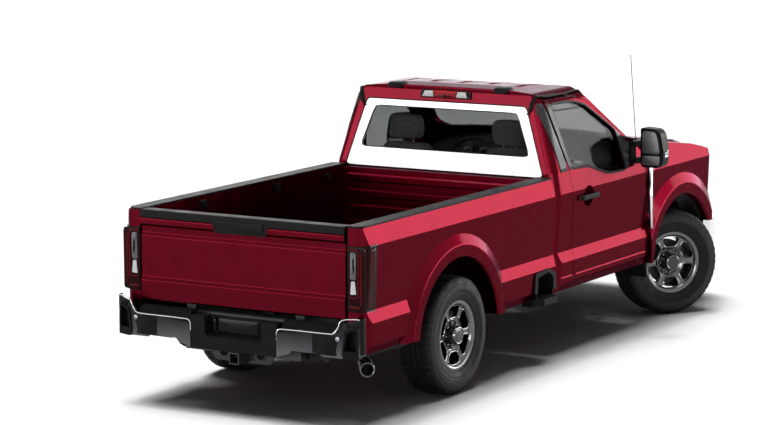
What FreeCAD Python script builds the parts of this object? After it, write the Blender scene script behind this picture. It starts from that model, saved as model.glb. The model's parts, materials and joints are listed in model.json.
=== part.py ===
import FreeCAD
import Part
import math
import os
import re
import Sketcher
from FreeCAD import Matrix, Placement, Rotation, Vector

# Full-size regular-cab pickup truck with an eight-foot bed, in millimetres.
# X points forward, Y to the left and Z up. The origin is on the ground, under the
# middle of the whole truck. The front wheels stand turned to the right, as parked.

doc = FreeCAD.newDocument("pickup_truck")
sheet = doc.addObject("Spreadsheet::Sheet", "Sizes")

SIZES = {
    # Layout along the truck
    "wheelbase": 3597,
    "front_overhang": 974,
    "rear_overhang": 1365,
    "cab_setback": 2121,
    "door_gap_setback": 596,
    "pillar_depth": 250,
    "bed_gap": 35,
    "bed_tail": 1241,
    "cowl_setback": 456,
    # Wheels and tyres
    "front_track": 1735,
    "rear_track": 1707,
    "tyre_radius": 421,
    "tyre_width": 275,
    "tread_width": 226,
    "bead_radius": 229,
    "flange_radius": 247,
    "rim_width": 230,
    "barrel_radius": 214,
    "wheel_face_offset": 60,
    "hub_radius": 88,
    "cap_radius": 62,
    "cap_depth": 82,
    "window_count": 6,
    "window_half": 74,
    "lug_count": 8,
    "lug_circle": 170,
    "lug_radius": 13,
    "lug_height": 16,
    "spindle_radius": 34,
    "pin_clearance": 0.3,
    # Steering
    "kingpin_half": 827,
    "steer_rest_right": 33.5,
    "steer_rest_left": 28.5,
    "kingpin_radius": 14,
    "knuckle_half_height": 88,
    "yoke_thickness": 24,
    "brake_radius": 178,
    "brake_thickness": 22,
    "axle_radius": 48,
    "rear_axle_radius": 52,
    "diff_radius": 150,
    "diff_offset": 190,
    # Frame
    "rail_outer_half": 480,
    "rail_width": 70,
    "rail_depth": 170,
    "rail_low": 440,
    "rail_rear_rise": 120,
    "rail_front_rise": 110,
    "cross_radius": 40,
    "spring_half": 566,
    "spring_width": 76,
    "spring_thickness": 44,
    "spring_length": 1500,
    "spring_eye_radius": 28,
    # Body sides
    "side_low": 490,
    "side_low_half": 958,
    "sill_height": 547,
    "sill_half": 984,
    "band_low": 700,
    "band_half": 990,
    "band_high": 785,
    "waist_half": 967,
    "shoulder_height": 1218,
    "shoulder_half": 985,
    "rail_height": 1345,
    "rail_edge_half": 952,
    "flare_half": 1016,
    "flare_band": 92,
    "flare_radius": 752,
    "front_flare_radius": 752,
    "arch_radius": 556,
    "arch_setback": 28,
    "front_arch_radius": 548,
    "flare_low": 490,
    # Bed
    "bed_inner_half": 845,
    "bed_floor_height": 812,
    "bed_floor_thickness": 42,
    "floor_rib_pitch": 142,
    "side_groove_count": 7,
    "bulkhead_thickness": 42,
    "wheelhouse_half": 641,
    "wheelhouse_wall": 12,
    "cap_thickness": 12,
    "cap_inner_half": 838,
    "cap_outer_half": 954,
    "bed_corner_radius": 90,
    # Tailgate
    "tailgate_half": 830,
    "tailgate_thickness": 88,
    "tailgate_proud": 11,
    "tailgate_low": 722,
    "tailgate_high": 1352,
    "tailgate_hinge_inset": 24,
    "tailgate_hinge_rise": 24,
    "trunnion_radius": 9,
    "trunnion_length": 30,
    # Cab
    "belt_height": 1375,
    "belt_half": 958,
    "roof_side_height": 1890,
    "roof_side_half": 808,
    "roof_corner_height": 1956,
    "roof_corner_half": 735,
    "roof_height": 1994,
    "roof_rear_height": 1972,
    "roof_groove_depth": 6,
    "cab_back_height": 1860,
    "cab_back_rake": 54,
    "cab_corner_radius": 85,
    "cowl_height": 1475,
    "windshield_angle": 32,
    "windshield_radius": 2600,
    "cab_floor_height": 690,
    "cab_floor_thickness": 40,
    "cab_wall": 98,
    "upper_wall": 40,
    "roof_wall": 40,
    "back_wall": 50,
    "firewall_thickness": 40,
    "glass_thickness": 6,
    "door_gap": 6,
    "door_front_gap": 10,
    "door_low": 552,
    "door_hinge_inset": 40,
    "handle_height": 1158,
    "door_hinge_half": 970,
    "hinge_pin_radius": 7,
    "hinge_half_height": 26,
    "upper_hinge_height": 1140,
    "lower_hinge_height": 640,
    # Front body
    "hood_gap": 6,
    "hood_half": 772,
    "hood_thickness": 30,
    "hood_crease": 210,
    "nose_setback": 60,
    # Bumpers
    "bumper_shelf_height": 640,
    "bumper_middle_half": 352,
    "bumper_steel": 8,
    "bumper_half": 995,
    # Interior
    "wheel_rim_radius": 190,
    "wheel_rim_tube": 15,
    # Receiver
    "receiver_inner_half": 32,
    "receiver_wall": 8,
    "receiver_height": 398,
    "receiver_pin_radius": 8.2,
}

for row, (alias, value) in enumerate(SIZES.items(), start=1):
    cell = "A{}".format(row)
    sheet.set(cell, str(value))
    sheet.setAlias(cell, alias)
doc.recompute()

# Stations that several sub-parts share, each worked out from the sheet
STATIONS = {
    "front_x": "(front_overhang + wheelbase + rear_overhang) / 2",
    "rear_x": "-(front_overhang + wheelbase + rear_overhang) / 2",
    "front_axle_x": "(front_x - front_overhang)",
    "rear_axle_x": "(front_x - front_overhang - wheelbase)",
    "cab_rear_x": "(front_axle_x - cab_setback)",
    "door_rear_x": "(cab_rear_x + pillar_depth)",
    "door_front_x": "(front_axle_x - door_gap_setback)",
    "bed_front_x": "(cab_rear_x - bed_gap)",
    "tail_x": "(rear_axle_x - bed_tail)",
    "tailgate_rear_x": "(tail_x - tailgate_proud)",
    "cowl_x": "(front_axle_x - cowl_setback)",
}
WORD = re.compile(r"[a-z_]+")


def spelled(expression):
    """Write out the stations in an expression."""
    while any(word in STATIONS for word in WORD.findall(expression)):
        expression = WORD.sub(lambda m: STATIONS.get(m.group(), m.group()), expression)
    return expression


def bound(expression):
    """The expression as another object of the document reads it."""
    return WORD.sub(
        lambda m: "Sizes." + m.group() if m.group() in SIZES else m.group(),
        spelled(expression))


def size(expression):
    """The expression's value in millimetres or degrees."""
    return float(sheet.evalExpression(spelled(expression)))


PARTS = {}


def keep(name, item):
    """Give a finished sub-part its label."""
    item.Label = name
    PARTS[name] = item
    return item


def feature(name, shape, placement=None):
    """A sub-part whose shape is worked out below."""
    item = doc.addObject("Part::Feature", name)
    item.Shape = shape
    if placement is not None:
        item.Placement = placement
    return keep(name, item)


# Plain shapes

IN_PLANE = {
    "xy": lambda a, b: Vector(a, b, 0),
    "xz": lambda a, b: Vector(a, 0, b),
    "yz": lambda a, b: Vector(0, a, b),
}
ACROSS = {"xy": Vector(0, 0, 1), "xz": Vector(0, 1, 0), "yz": Vector(1, 0, 0)}


def rounded_wire(points, plane):
    """A closed wire in a plane, each corner (a, b, radius) rounded by its radius."""
    corners = [IN_PLANE[plane](p[0], p[1]) for p in points]
    radii = [p[2] if len(p) > 2 else 0 for p in points]
    count = len(points)
    runs = []
    for i, corner in enumerate(corners):
        if radii[i] <= 0:
            runs.append((corner, corner, corner))
            continue
        before = corners[i - 1] - corner
        after = corners[(i + 1) % count] - corner
        angle = before.getAngle(after)
        reach = radii[i] / math.tan(angle / 2)
        before.normalize()
        after.normalize()
        bisector = (before + after).normalize()
        middle = corner + bisector * (radii[i] / math.sin(angle / 2) - radii[i])
        runs.append((corner + before * reach, middle, corner + after * reach))
    edges = []
    for i, (start, middle, end) in enumerate(runs):
        if radii[i] > 0:
            edges.append(Part.Arc(start, middle, end).toShape())
        following = runs[(i + 1) % count][0]
        if end.distanceToPoint(following) > 1e-6:
            edges.append(Part.makeLine(end, following))
    return Part.Wire(edges)


def plate(points, plane, low, high):
    """A closed outline in a plane, made solid from low to high across it."""
    face = Part.Face(rounded_wire(points, plane))
    face.translate(ACROSS[plane] * low)
    solid = face.extrude(ACROSS[plane] * (high - low))
    if solid.Volume < 0:
        solid.reverse()
    return solid


def block(x0, x1, y0, y1, z0, z1):
    """An upright box between opposite corners."""
    low = Vector(min(x0, x1), min(y0, y1), min(z0, z1))
    return Part.makeBox(abs(x1 - x0), abs(y1 - y0), abs(z1 - z0), low)


def rod(start, end, radius):
    """A round bar between two points."""
    along = Vector(*end) - Vector(*start)
    return Part.makeCylinder(radius, along.Length, Vector(*start), along)


def widened(outline, by):
    """The outline's face in the xz plane, grown all round."""
    wire = rounded_wire(outline, "xz")
    return Part.Face(wire.makeOffset2D(by))


def through(face, low, high):
    """A face in the xz plane made solid from low to high along Y."""
    lifted = face.copy()
    lifted.translate(Vector(0, low, 0))
    solid = lifted.extrude(Vector(0, high - low, 0))
    if solid.Volume < 0:
        solid.reverse()
    return solid


def mirrored(shape):
    """The same shape on the other side of the truck."""
    return shape.mirror(Vector(0, 0, 0), Vector(0, 1, 0))


def joined(shapes):
    """One solid out of shapes that meet."""
    return shapes[0].multiFuse(shapes[1:])


def pair(shape):
    """The shape and its mirror image, as one compound."""
    return Part.makeCompound([shape, mirrored(shape)])


def both_ways(points):
    """A half outline (y, z) from the bottom up, closed with its mirror image."""
    return list(points) + [(-p[0],) + tuple(p[1:]) for p in reversed(points)]


# Stations as numbers, for the sub-parts worked out below
front_x = size("front_x")
rear_x = size("rear_x")
front_axle_x = size("front_axle_x")
rear_axle_x = size("rear_axle_x")
cab_rear_x = size("cab_rear_x")
door_rear_x = size("door_rear_x")
door_front_x = size("door_front_x")
bed_front_x = size("bed_front_x")
tail_x = size("tail_x")
tailgate_rear_x = size("tailgate_rear_x")
cowl_x = size("cowl_x")
far = 1400
axle_z = size("tyre_radius")
clearance = size("pin_clearance")


# Body side surface, shared by the bed, cab, doors and fenders

def side_outline(inner, top, top_half, extra=()):
    """Half section of the body side from its low edge up to a given top."""
    return [
        (inner, size("side_low")),
        (size("side_low_half"), size("side_low")),
        (size("sill_half"), size("sill_height")),
        (size("band_half"), size("band_low"), 12),
        (size("waist_half"), size("band_high"), 12),
        (size("shoulder_half"), size("shoulder_height"), 30),
        (top_half, top),
        *extra,
        (inner, top),
    ]


# Wheels: tyres and rims are revolved about the axle line

def wheel_placement(x, y, steer=0, pivot_y=None):
    """Where a wheel stands: its centre, turned about the kingpin when steered."""
    centre = Vector(x, y, axle_z)
    if pivot_y is None:
        return Placement(centre, Rotation(Vector(0, 0, 1), 0 if y > 0 else 180))
    turn = Placement(Vector(), Rotation(Vector(0, 0, 1), steer), Vector(x, pivot_y, axle_z))
    stand = Placement(centre, Rotation(Vector(0, 0, 1), 0 if y > 0 else 180))
    return turn.multiply(stand)


def sketch_in(body, role, corners):
    """A closed sketch on one of the body's planes, each corner tied to the sheet."""
    sketch = body.newObject("Sketcher::SketchObject", "Sketch")
    plane = [f for f in body.Origin.OriginFeatures if f.Role == role][0]
    sketch.AttachmentSupport = [(plane, "")]
    sketch.MapMode = "FlatFace"
    places = [Vector(size(u), size(v), 0) for u, v in corners]
    count = len(places)
    for i in range(count):
        sketch.addGeometry(Part.LineSegment(places[i], places[(i + 1) % count]), False)
    for i in range(count):
        sketch.addConstraint(Sketcher.Constraint("Coincident", i, 2, (i + 1) % count, 1))
    for i, (u, v) in enumerate(corners):
        for kind, expression, value in (("DistanceX", u, places[i].x), ("DistanceY", v, places[i].y)):
            index = sketch.addConstraint(Sketcher.Constraint(kind, -1, 1, i, 1, value))
            sketch.setExpression("Constraints[{}]".format(index), bound(expression))
    return sketch


def revolved_body(label, corners, placement):
    """A body revolved about its own Y axis from (y, radius) corners."""
    body = doc.addObject("PartDesign::Body", label)
    sketch = sketch_in(body, "YZ_Plane", corners)
    turn = body.newObject("PartDesign::Revolution", "Revolution")
    turn.Profile = sketch
    turn.ReferenceAxis = (sketch, ["H_Axis"])
    turn.Angle = 360
    body.Placement = placement
    return body


TYRE_CORNERS = [
    ("-rim_width / 2 + 10", "bead_radius"),
    ("rim_width / 2 - 10", "bead_radius"),
    ("rim_width / 2 - 10", "flange_radius + 6"),
    ("tyre_width / 2 - 6", "bead_radius + 62"),
    ("tyre_width / 2", "bead_radius + 100"),
    ("tyre_width / 2 - 4", "tyre_radius - 52"),
    ("tread_width / 2 + 8", "tyre_radius - 14"),
    ("tread_width / 2 - 12", "tyre_radius"),
    ("-tread_width / 2 + 12", "tyre_radius"),
    ("-tread_width / 2 - 8", "tyre_radius - 14"),
    ("-tyre_width / 2 + 4", "tyre_radius - 52"),
    ("-tyre_width / 2", "bead_radius + 100"),
    ("-tyre_width / 2 + 6", "bead_radius + 62"),
    ("-rim_width / 2 + 10", "flange_radius + 6"),
]
RIM_CORNERS = [
    ("-rim_width / 2", "barrel_radius + 8"),
    ("-rim_width / 2 + 12", "barrel_radius"),
    ("wheel_face_offset - 6", "barrel_radius"),
    ("wheel_face_offset - 6", "hub_radius + 34"),
    ("wheel_face_offset - 34", "hub_radius + 6"),
    ("wheel_face_offset - 34", "spindle_radius + pin_clearance"),
    ("wheel_face_offset + cap_depth - 22", "spindle_radius + pin_clearance"),
    ("wheel_face_offset + cap_depth - 22", "0"),
    ("wheel_face_offset + cap_depth - 12", "0"),
    ("wheel_face_offset + cap_depth - 12", "cap_radius - 14"),
    ("wheel_face_offset + cap_depth - 22", "cap_radius"),
    ("wheel_face_offset - 4", "cap_radius + 4"),
    ("wheel_face_offset - 4", "hub_radius + 8"),
    ("wheel_face_offset + 22", "hub_radius + 46"),
    ("wheel_face_offset + 30", "barrel_radius - 4"),
    ("rim_width / 2", "flange_radius - 14"),
    ("rim_width / 2", "flange_radius"),
    ("rim_width / 2 - 9.8", "flange_radius"),
    ("rim_width / 2 - 9.8", "bead_radius - 0.2"),
    ("-rim_width / 2 + 9.8", "bead_radius - 0.2"),
    ("-rim_width / 2 + 9.8", "flange_radius"),
    ("-rim_width / 2", "flange_radius"),
]


LUG_CORNERS = [(-0.5, -0.866), (0.5, -0.866), (1, 0), (0.5, 0.866), (-0.5, 0.866), (-1, 0)]


def build_wheel(corner, placement):
    """A tyre and a six-window rim with its lugs and centre cap."""
    tyre = revolved_body("Tyre_" + corner, TYRE_CORNERS, placement)
    keep("tyre_" + corner, tyre)
    rim = revolved_body("Rim_" + corner, RIM_CORNERS, placement)
    doc.recompute()
    sketch = sketch_in(rim, "XZ_Plane", [
        ("-window_half / 2", "hub_radius + 36"),
        ("window_half / 2", "hub_radius + 36"),
        ("window_half * 0.73", "hub_radius + 50"),
        ("window_half", "barrel_radius - 34"),
        ("window_half * 0.9", "barrel_radius - 17"),
        ("window_half * 0.55", "barrel_radius - 8"),
        ("-window_half * 0.55", "barrel_radius - 8"),
        ("-window_half * 0.9", "barrel_radius - 17"),
        ("-window_half", "barrel_radius - 34"),
        ("-window_half * 0.73", "hub_radius + 50"),
    ])
    pocket = rim.newObject("PartDesign::Pocket", "Window")
    pocket.Profile = sketch
    pocket.Type = 1
    windows = rim.newObject("PartDesign::PolarPattern", "Windows")
    windows.Originals = [pocket]
    windows.Axis = (sketch, ["N_Axis"])
    windows.Angle = 360
    windows.setExpression("Occurrences", bound("window_count"))
    rim.Tip = windows
    doc.recompute()
    nut = [("lug_radius * {}".format(across), "lug_circle / 2 + lug_radius * {}".format(up))
           for across, up in LUG_CORNERS]
    lug_sketch = sketch_in(rim, "XZ_Plane", nut)
    lug_sketch.AttachmentOffset = Placement(Vector(0, 0, 14 - size("wheel_face_offset")), Rotation())
    lug = rim.newObject("PartDesign::Pad", "Lug")
    lug.Profile = lug_sketch
    lug.Reversed = True
    lug.setExpression("Length", bound("lug_height + 10"))
    pattern = rim.newObject("PartDesign::PolarPattern", "Lugs")
    pattern.Originals = [lug]
    pattern.Axis = (lug_sketch, ["N_Axis"])
    pattern.Angle = 360
    pattern.setExpression("Occurrences", bound("lug_count"))
    rim.Tip = pattern
    keep("rim_" + corner, rim)


build_wheel("rear_left", wheel_placement(rear_axle_x, size("rear_track / 2")))
build_wheel("rear_right", wheel_placement(rear_axle_x, -size("rear_track / 2")))
build_wheel("front_left", wheel_placement(
    front_axle_x, size("front_track / 2"), -size("steer_rest_left"), size("kingpin_half")))
build_wheel("front_right", wheel_placement(
    front_axle_x, -size("front_track / 2"), -size("steer_rest_right"), -size("kingpin_half")))


# Knuckles, axles and springs

def build_knuckle(side):
    """A steering knuckle: upright, kingpins, spindle and brake, then steered."""
    y_pin = size("kingpin_half")
    half_height = size("knuckle_half_height")
    face_y = size("front_track / 2 + wheel_face_offset")
    x = front_axle_x
    pin_reach = half_height + size("yoke_thickness") + 6
    shapes = [
        block(x - 42, x + 42, y_pin - 26, y_pin + 20, axle_z - half_height, axle_z + half_height),
        rod((x, y_pin, axle_z - pin_reach), (x, y_pin, axle_z + pin_reach), size("kingpin_radius")),
        rod((x, y_pin, axle_z), (x, face_y + size("cap_depth") - 26, axle_z), size("spindle_radius")),
        rod((x, face_y - 62, axle_z), (x, face_y - 62 + size("brake_thickness"), axle_z),
            size("brake_radius")),
        plate([(x - 120, y_pin - 20), (x - 120, y_pin + 20), (x, y_pin + 20), (x, y_pin - 26)],
              "xy", axle_z - half_height, axle_z - half_height + 22),
    ]
    shape = joined(shapes)
    angle = -size("steer_rest_left") if side == "left" else size("steer_rest_right")
    shape.rotate(Vector(x, y_pin, 0), Vector(0, 0, 1), angle)
    if side == "right":
        shape = mirrored(shape)
    feature("knuckle_" + side, shape)


build_knuckle("left")
build_knuckle("right")


def axle_yoke():
    """The left fork that holds the knuckle between its two ears."""
    y_pin = size("kingpin_half")
    x = front_axle_x
    low = size("knuckle_half_height") + 1
    thick = size("yoke_thickness")
    hole = rod((x, y_pin, axle_z - 200), (x, y_pin, axle_z + 200), size("kingpin_radius") + clearance)
    shapes = [block(x - 34, x + 34, y_pin - 110, y_pin - 84, axle_z - low - thick, axle_z + low + thick)]
    for sign in (-1, 1):
        near = axle_z + sign * low
        far = axle_z + sign * (low + thick)
        shapes.append(block(x - 30, x + 30, y_pin - 110, y_pin, near, far))
        shapes.append(rod((x, y_pin, min(near, far)), (x, y_pin, max(near, far)), 30))
    return joined(shapes).cut(hole)


rail_under = size("rail_low")
front_rail_low = size("rail_low + rail_front_rise")
rear_rail_low = size("rail_low + rail_rear_rise")
rail_mid_y = size("rail_outer_half - rail_width / 2")
axle_tube = rod((front_axle_x, -size("kingpin_half") + 90, axle_z),
                (front_axle_x, size("kingpin_half") - 90, axle_z), size("axle_radius"))
front_diff = Part.makeSphere(size("diff_radius"), Vector(front_axle_x, size("diff_offset"), axle_z))
front_diff = front_diff.common(block(front_axle_x - 110, front_axle_x + 150, 0, 400, 250, 600))
front_axle = [axle_tube, front_diff, axle_yoke(), mirrored(axle_yoke())]
for sign in (-1, 1):
    y = sign * rail_mid_y
    front_axle.append(rod((front_axle_x, y, axle_z + 30), (front_axle_x, y, front_rail_low), 52))
    front_axle.append(plate(
        [(front_axle_x + 20, axle_z - 30), (front_axle_x + 20, axle_z + 20),
         (front_axle_x - 820, rail_under), (front_axle_x - 900, rail_under),
         (front_axle_x - 900, rail_under - 50)],
        "xz", y - 22, y + 22))
feature("front_axle", joined(front_axle))


def leaf_pack(y):
    """Leaves bowed from the front hanger over the axle to the rear shackle."""
    half = size("spring_length / 2")
    width = size("spring_width")
    thick = size("spring_thickness")
    top = axle_z + size("rear_axle_radius") + 30
    end_z = rear_rail_low - 20
    eye = size("spring_eye_radius")

    def arc_at(rise):
        return Part.Arc(
            Vector(rear_axle_x - half, y, end_z + rise),
            Vector(rear_axle_x, y, top + rise),
            Vector(rear_axle_x + half, y, end_z + rise)).toShape()

    low = arc_at(0)
    high = arc_at(thick)
    ends = [
        Part.makeLine(low.Vertexes[-1].Point, high.Vertexes[-1].Point),
        Part.makeLine(high.Vertexes[0].Point, low.Vertexes[0].Point),
    ]
    face = Part.Face(Part.Wire(Part.__sortEdges__([low, ends[0], high, ends[1]])))
    face.translate(Vector(0, -width / 2, 0))
    shapes = [face.extrude(Vector(0, width, 0))]
    for sign in (-1, 1):
        x = rear_axle_x + sign * half
        z = end_z + thick / 2
        shapes.append(rod((x, y - width / 2, z), (x, y + width / 2, z), eye))
        rail_face = math.copysign(size("rail_outer_half"), y)
        shapes.append(rod((x, y, z), (x, rail_face, z), 14))
    shapes.append(block(rear_axle_x - 80, rear_axle_x + 80, y - width / 2 - 10, y + width / 2 + 10,
                        axle_z - 20, top + thick + 16))
    return joined(shapes)


rear_diff = Part.makeSphere(size("diff_radius + 20"), Vector(rear_axle_x, 0, axle_z))
hub_end = size("rear_track / 2 + wheel_face_offset + cap_depth - 26")
rear_axle = [
    rod((rear_axle_x, -hub_end + 130, axle_z), (rear_axle_x, hub_end - 130, axle_z),
        size("rear_axle_radius")),
    rod((rear_axle_x, -hub_end, axle_z), (rear_axle_x, hub_end, axle_z), size("spindle_radius")),
    rear_diff,
]
for sign in (-1, 1):
    y = sign * size("rear_track / 2 + wheel_face_offset - 62")
    rear_axle.append(rod((rear_axle_x, y, axle_z),
                         (rear_axle_x, y + sign * size("brake_thickness"), axle_z),
                         size("brake_radius")))
    rear_axle.append(leaf_pack(sign * size("spring_half")))
feature("rear_axle", joined(rear_axle))


# Frame: two boxed rails that rise over the axles, with cross tubes

def rail_outline():
    """Side outline of a rail, from the rear end along the top and back below."""
    depth = size("rail_depth")
    low = rail_under
    stations = [
        (tailgate_rear_x + 40, rear_rail_low),
        (rear_axle_x + 560, rear_rail_low),
        (rear_axle_x + 900, low),
        (front_axle_x - 760, low),
        (front_axle_x - 430, front_rail_low),
        (front_axle_x + 560, front_rail_low),
        (front_axle_x + 800, front_rail_low - 20),
    ]
    top = [(x, z + depth, 0 if i in (0, 6) else 120) for i, (x, z) in enumerate(stations)]
    below = [(x, z, 0 if i in (0, 6) else 120) for i, (x, z) in enumerate(stations)]
    return below + top[::-1]


outer = size("rail_outer_half")
bumper_in_x = tailgate_rear_x - 14
frame_shapes = []
for sign in (-1, 1):
    frame_shapes.append(plate(rail_outline(), "xz", sign * outer, sign * (outer - size("rail_width"))))
cross_tubes = [
    (tailgate_rear_x + 90, rear_rail_low + 90),
    (rear_axle_x + 420, rear_rail_low + 120),
    (rear_axle_x + 1100, rail_under + 160),
    (front_axle_x - 1620, rail_under + 142),
    (front_axle_x + 700, front_rail_low + 60),
]
for x, z in cross_tubes:
    frame_shapes.append(rod((x, -outer + 20, z), (x, outer - 20, z), size("cross_radius")))
cab_floor_low = size("cab_floor_height - cab_floor_thickness")
body_mount_x = [cab_rear_x + 120, front_axle_x - 900]
bed_mount_x = [bed_front_x - 160, rear_axle_x + 480, rear_axle_x - 480, tail_x + 200]
for sign in (-1, 1):
    for x in body_mount_x:
        frame_shapes.append(block(x - 50, x + 50, sign * (outer - 10), sign * (outer + 130),
                                  rail_under + 60, rail_under + 110))
        frame_shapes.append(rod((x, sign * (outer + 90), rail_under + 100),
                                (x, sign * (outer + 90), cab_floor_low), 40))
    frame_shapes.append(block(front_axle_x - 160, front_axle_x - 60, sign * 290,
                              sign * (outer - 60), front_rail_low + 60, front_rail_low + 120))
    for x in bed_mount_x:
        base = rail_under + 60 if x > rear_axle_x + 700 else rear_rail_low + 100
        frame_shapes.append(block(x - 40, x + 40, sign * (outer - size("rail_width")), sign * outer,
                                  base, size("bed_floor_height - bed_floor_thickness")))
    frame_shapes.append(block(front_axle_x + 740, front_x - 110, sign * (outer - 60),
                              sign * (outer - 10), front_rail_low, front_rail_low + 120))
    frame_shapes.append(block(bumper_in_x, tailgate_rear_x + 80, sign * (outer - 60),
                              sign * (outer - 10), rear_rail_low + 20, rear_rail_low + 110))
frame_cuts = [
    block(rear_x, tail_x + 100, -far, far, 712, 900),
    block(door_front_x - 60, door_front_x + 30, -far, far, cab_floor_low - 6, 900),
    PARTS["front_axle"].Shape,
]
feature("frame_rails", joined(frame_shapes).cut(Part.makeCompound(frame_cuts)))

# Engine as one plain block, with the gearbox, transfer case and shafts behind it
engine_rear_x = front_axle_x - 540
engine_floor = axle_z + 170
shaft_z = axle_z + 66
transfer_x = engine_rear_x - 900
driveline = [
    block(engine_rear_x, front_axle_x + 330, -290, 290, engine_floor, 1130),
    block(engine_rear_x, engine_rear_x + 300, -150, 150, shaft_z - 100, engine_floor + 40),
    Part.makeCone(122, 100, 760, Vector(engine_rear_x, 0, shaft_z), Vector(-1, 0, 0)),
    block(transfer_x - 120, transfer_x + 160, -120, 230, shaft_z - 140, shaft_z + 100),
    rod((transfer_x - 100, 0, shaft_z), (rear_axle_x + size("diff_radius"), 0, axle_z + 20), 45),
    rod((transfer_x + 100, 190, shaft_z - 70), (front_axle_x - 110, 190, axle_z + 10), 30),
]
axles = PARTS["front_axle"].Shape.fuse(PARTS["rear_axle"].Shape)
feature("powertrain", joined(driveline).cut(axles))

# Exhaust along the right side, with its silencer and a wider tip
exhaust_y = -330
pipe_radius = 36
exhaust_points = [
    (engine_rear_x + 100, exhaust_y, 470),
    (engine_rear_x - 500, exhaust_y, 366),
    (rear_axle_x + 900, exhaust_y, 366),
    (rear_axle_x + 320, exhaust_y, 570),
    (rear_axle_x - 120, exhaust_y, 570),
    (rear_axle_x - 420, exhaust_y - 30, 480),
    (rear_axle_x - 760, exhaust_y - 320, 400),
    (rear_axle_x - 1137, -925, 378),
]
exhaust_shapes = []
for start, end in zip(exhaust_points, exhaust_points[1:]):
    exhaust_shapes.append(rod(start, end, pipe_radius))
for point in exhaust_points[1:-1]:
    exhaust_shapes.append(Part.makeSphere(pipe_radius, Vector(*point)))
exhaust_shapes.append(rod((rear_axle_x + 1500, exhaust_y, 366), (rear_axle_x + 1000, exhaust_y, 366), 85))
tip_way = Vector(*exhaust_points[-1]) - Vector(*exhaust_points[-2])
tip_way.normalize()
tip_start = Vector(*exhaust_points[-1]) - tip_way * 160
exhaust_shapes.append(Part.makeCylinder(50, 170, tip_start, tip_way))
exhaust = joined(exhaust_shapes).cut(Part.makeCylinder(42, 120, tip_start + tip_way * 60, tip_way))
feature("exhaust", exhaust)

# Fuel tank inside the left rail
feature("fuel_tank", plate(
    [(160, 340, 30), (outer - 70, 340, 30), (outer - 70, 600), (160, 600, 30)], "yz",
    cab_rear_x - 313, cab_rear_x + 427))


# Bed: one wall on each side, floor with wheelhouses, rail caps

bed_inner = size("bed_inner_half")
rail_top = size("rail_height")


def bed_wall(grow):
    """The left bed wall, grown outward by a small amount."""
    outline = [(p[0] + grow if p[0] > bed_inner else p[0],) + tuple(p[1:])
               for p in side_outline(bed_inner, rail_top, size("rail_edge_half"))]
    wall = plate(outline, "yz", tail_x - grow, bed_front_x)
    reach = size("band_half") + grow
    corner = size("bed_corner_radius")
    plan = plate([(tail_x - grow, 0), (tail_x - grow, reach, corner), (bed_front_x, reach),
                  (bed_front_x, 0)], "xy", 0, far + 100)
    return wall.common(plan)


def flare(x, radius, arch, inner):
    """A rounded lip around a wheel opening, revolved about the axle line."""
    edge = size("flare_half")
    outline = [
        (inner, arch), (edge - 14, arch), (edge, arch + 10, 8), (edge, arch + size("flare_band"), 30),
        (size("waist_half"), radius), (inner, radius),
    ]
    face = Part.Face(rounded_wire(outline, "yz"))
    ring = face.revolve(Vector(0, 0, 0), Vector(0, 1, 0), 360)
    if ring.Volume < 0:
        ring.reverse()
    ring.translate(Vector(x, 0, axle_z))
    above = block(x - far, x + far, 0, far, size("flare_low"), far)
    return ring.common(above)


arch_x = rear_axle_x - size("arch_setback")
lamp_low = 779
lamp_high = 1226
lamp_front_x = tail_x + 137
lamp_zone = block(tail_x - 50, lamp_front_x, 841, far, lamp_low, lamp_high)
lamp = bed_wall(8).common(lamp_zone)

arch_cut = rod((arch_x, 0, axle_z), (arch_x, far, axle_z), size("arch_radius"))
hinge_x = tailgate_rear_x + size("tailgate_hinge_inset")
hinge_z = size("tailgate_low + tailgate_hinge_rise")
trunnion = rod((hinge_x, bed_inner + 20, hinge_z),
               (hinge_x, size("tailgate_half - trunnion_length"), hinge_z), size("trunnion_radius"))
bedside = bed_wall(0).cut(arch_cut)
bedside = bedside.fuse(flare(arch_x, size("flare_radius"), size("arch_radius"), bed_inner + 60))
bedside = bedside.cut(lamp_zone).fuse(trunnion)
groove_pitch = (bed_front_x - tail_x - 300) / size("side_groove_count")
for i in range(int(size("side_groove_count"))):
    x = tail_x + 180 + i * groove_pitch
    bedside = bedside.cut(block(x, x + groove_pitch - 90, bed_inner - 1, bed_inner + 8, 1000, 1270))

# A box step sits in a pocket at the foot of each wall
box_step_rear_x = bed_front_x - 345
box_step_outline = [
    (box_step_rear_x, 540), (box_step_rear_x + 14, 690, 24), (box_step_rear_x + 216, 706, 60),
    (bed_front_x - 18, 656, 16), (bed_front_x - 4, 536),
]
box_step_hollow_outline = [
    (box_step_rear_x + 42, 480), (box_step_rear_x + 50, 658, 24), (box_step_rear_x + 216, 676, 50),
    (bed_front_x - 62, 640, 24), (bed_front_x - 54, 480),
]
box_step_depth = 96
box_step_in_y = size("band_half") - box_step_depth
box_step_wall = 8
box_step_hollow = plate(box_step_hollow_outline, "xz", box_step_in_y, far)
box_step_pocket = through(widened(box_step_hollow_outline, box_step_wall),
                          box_step_in_y - box_step_wall, far)
bedside = bedside.cut(box_step_pocket)

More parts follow.
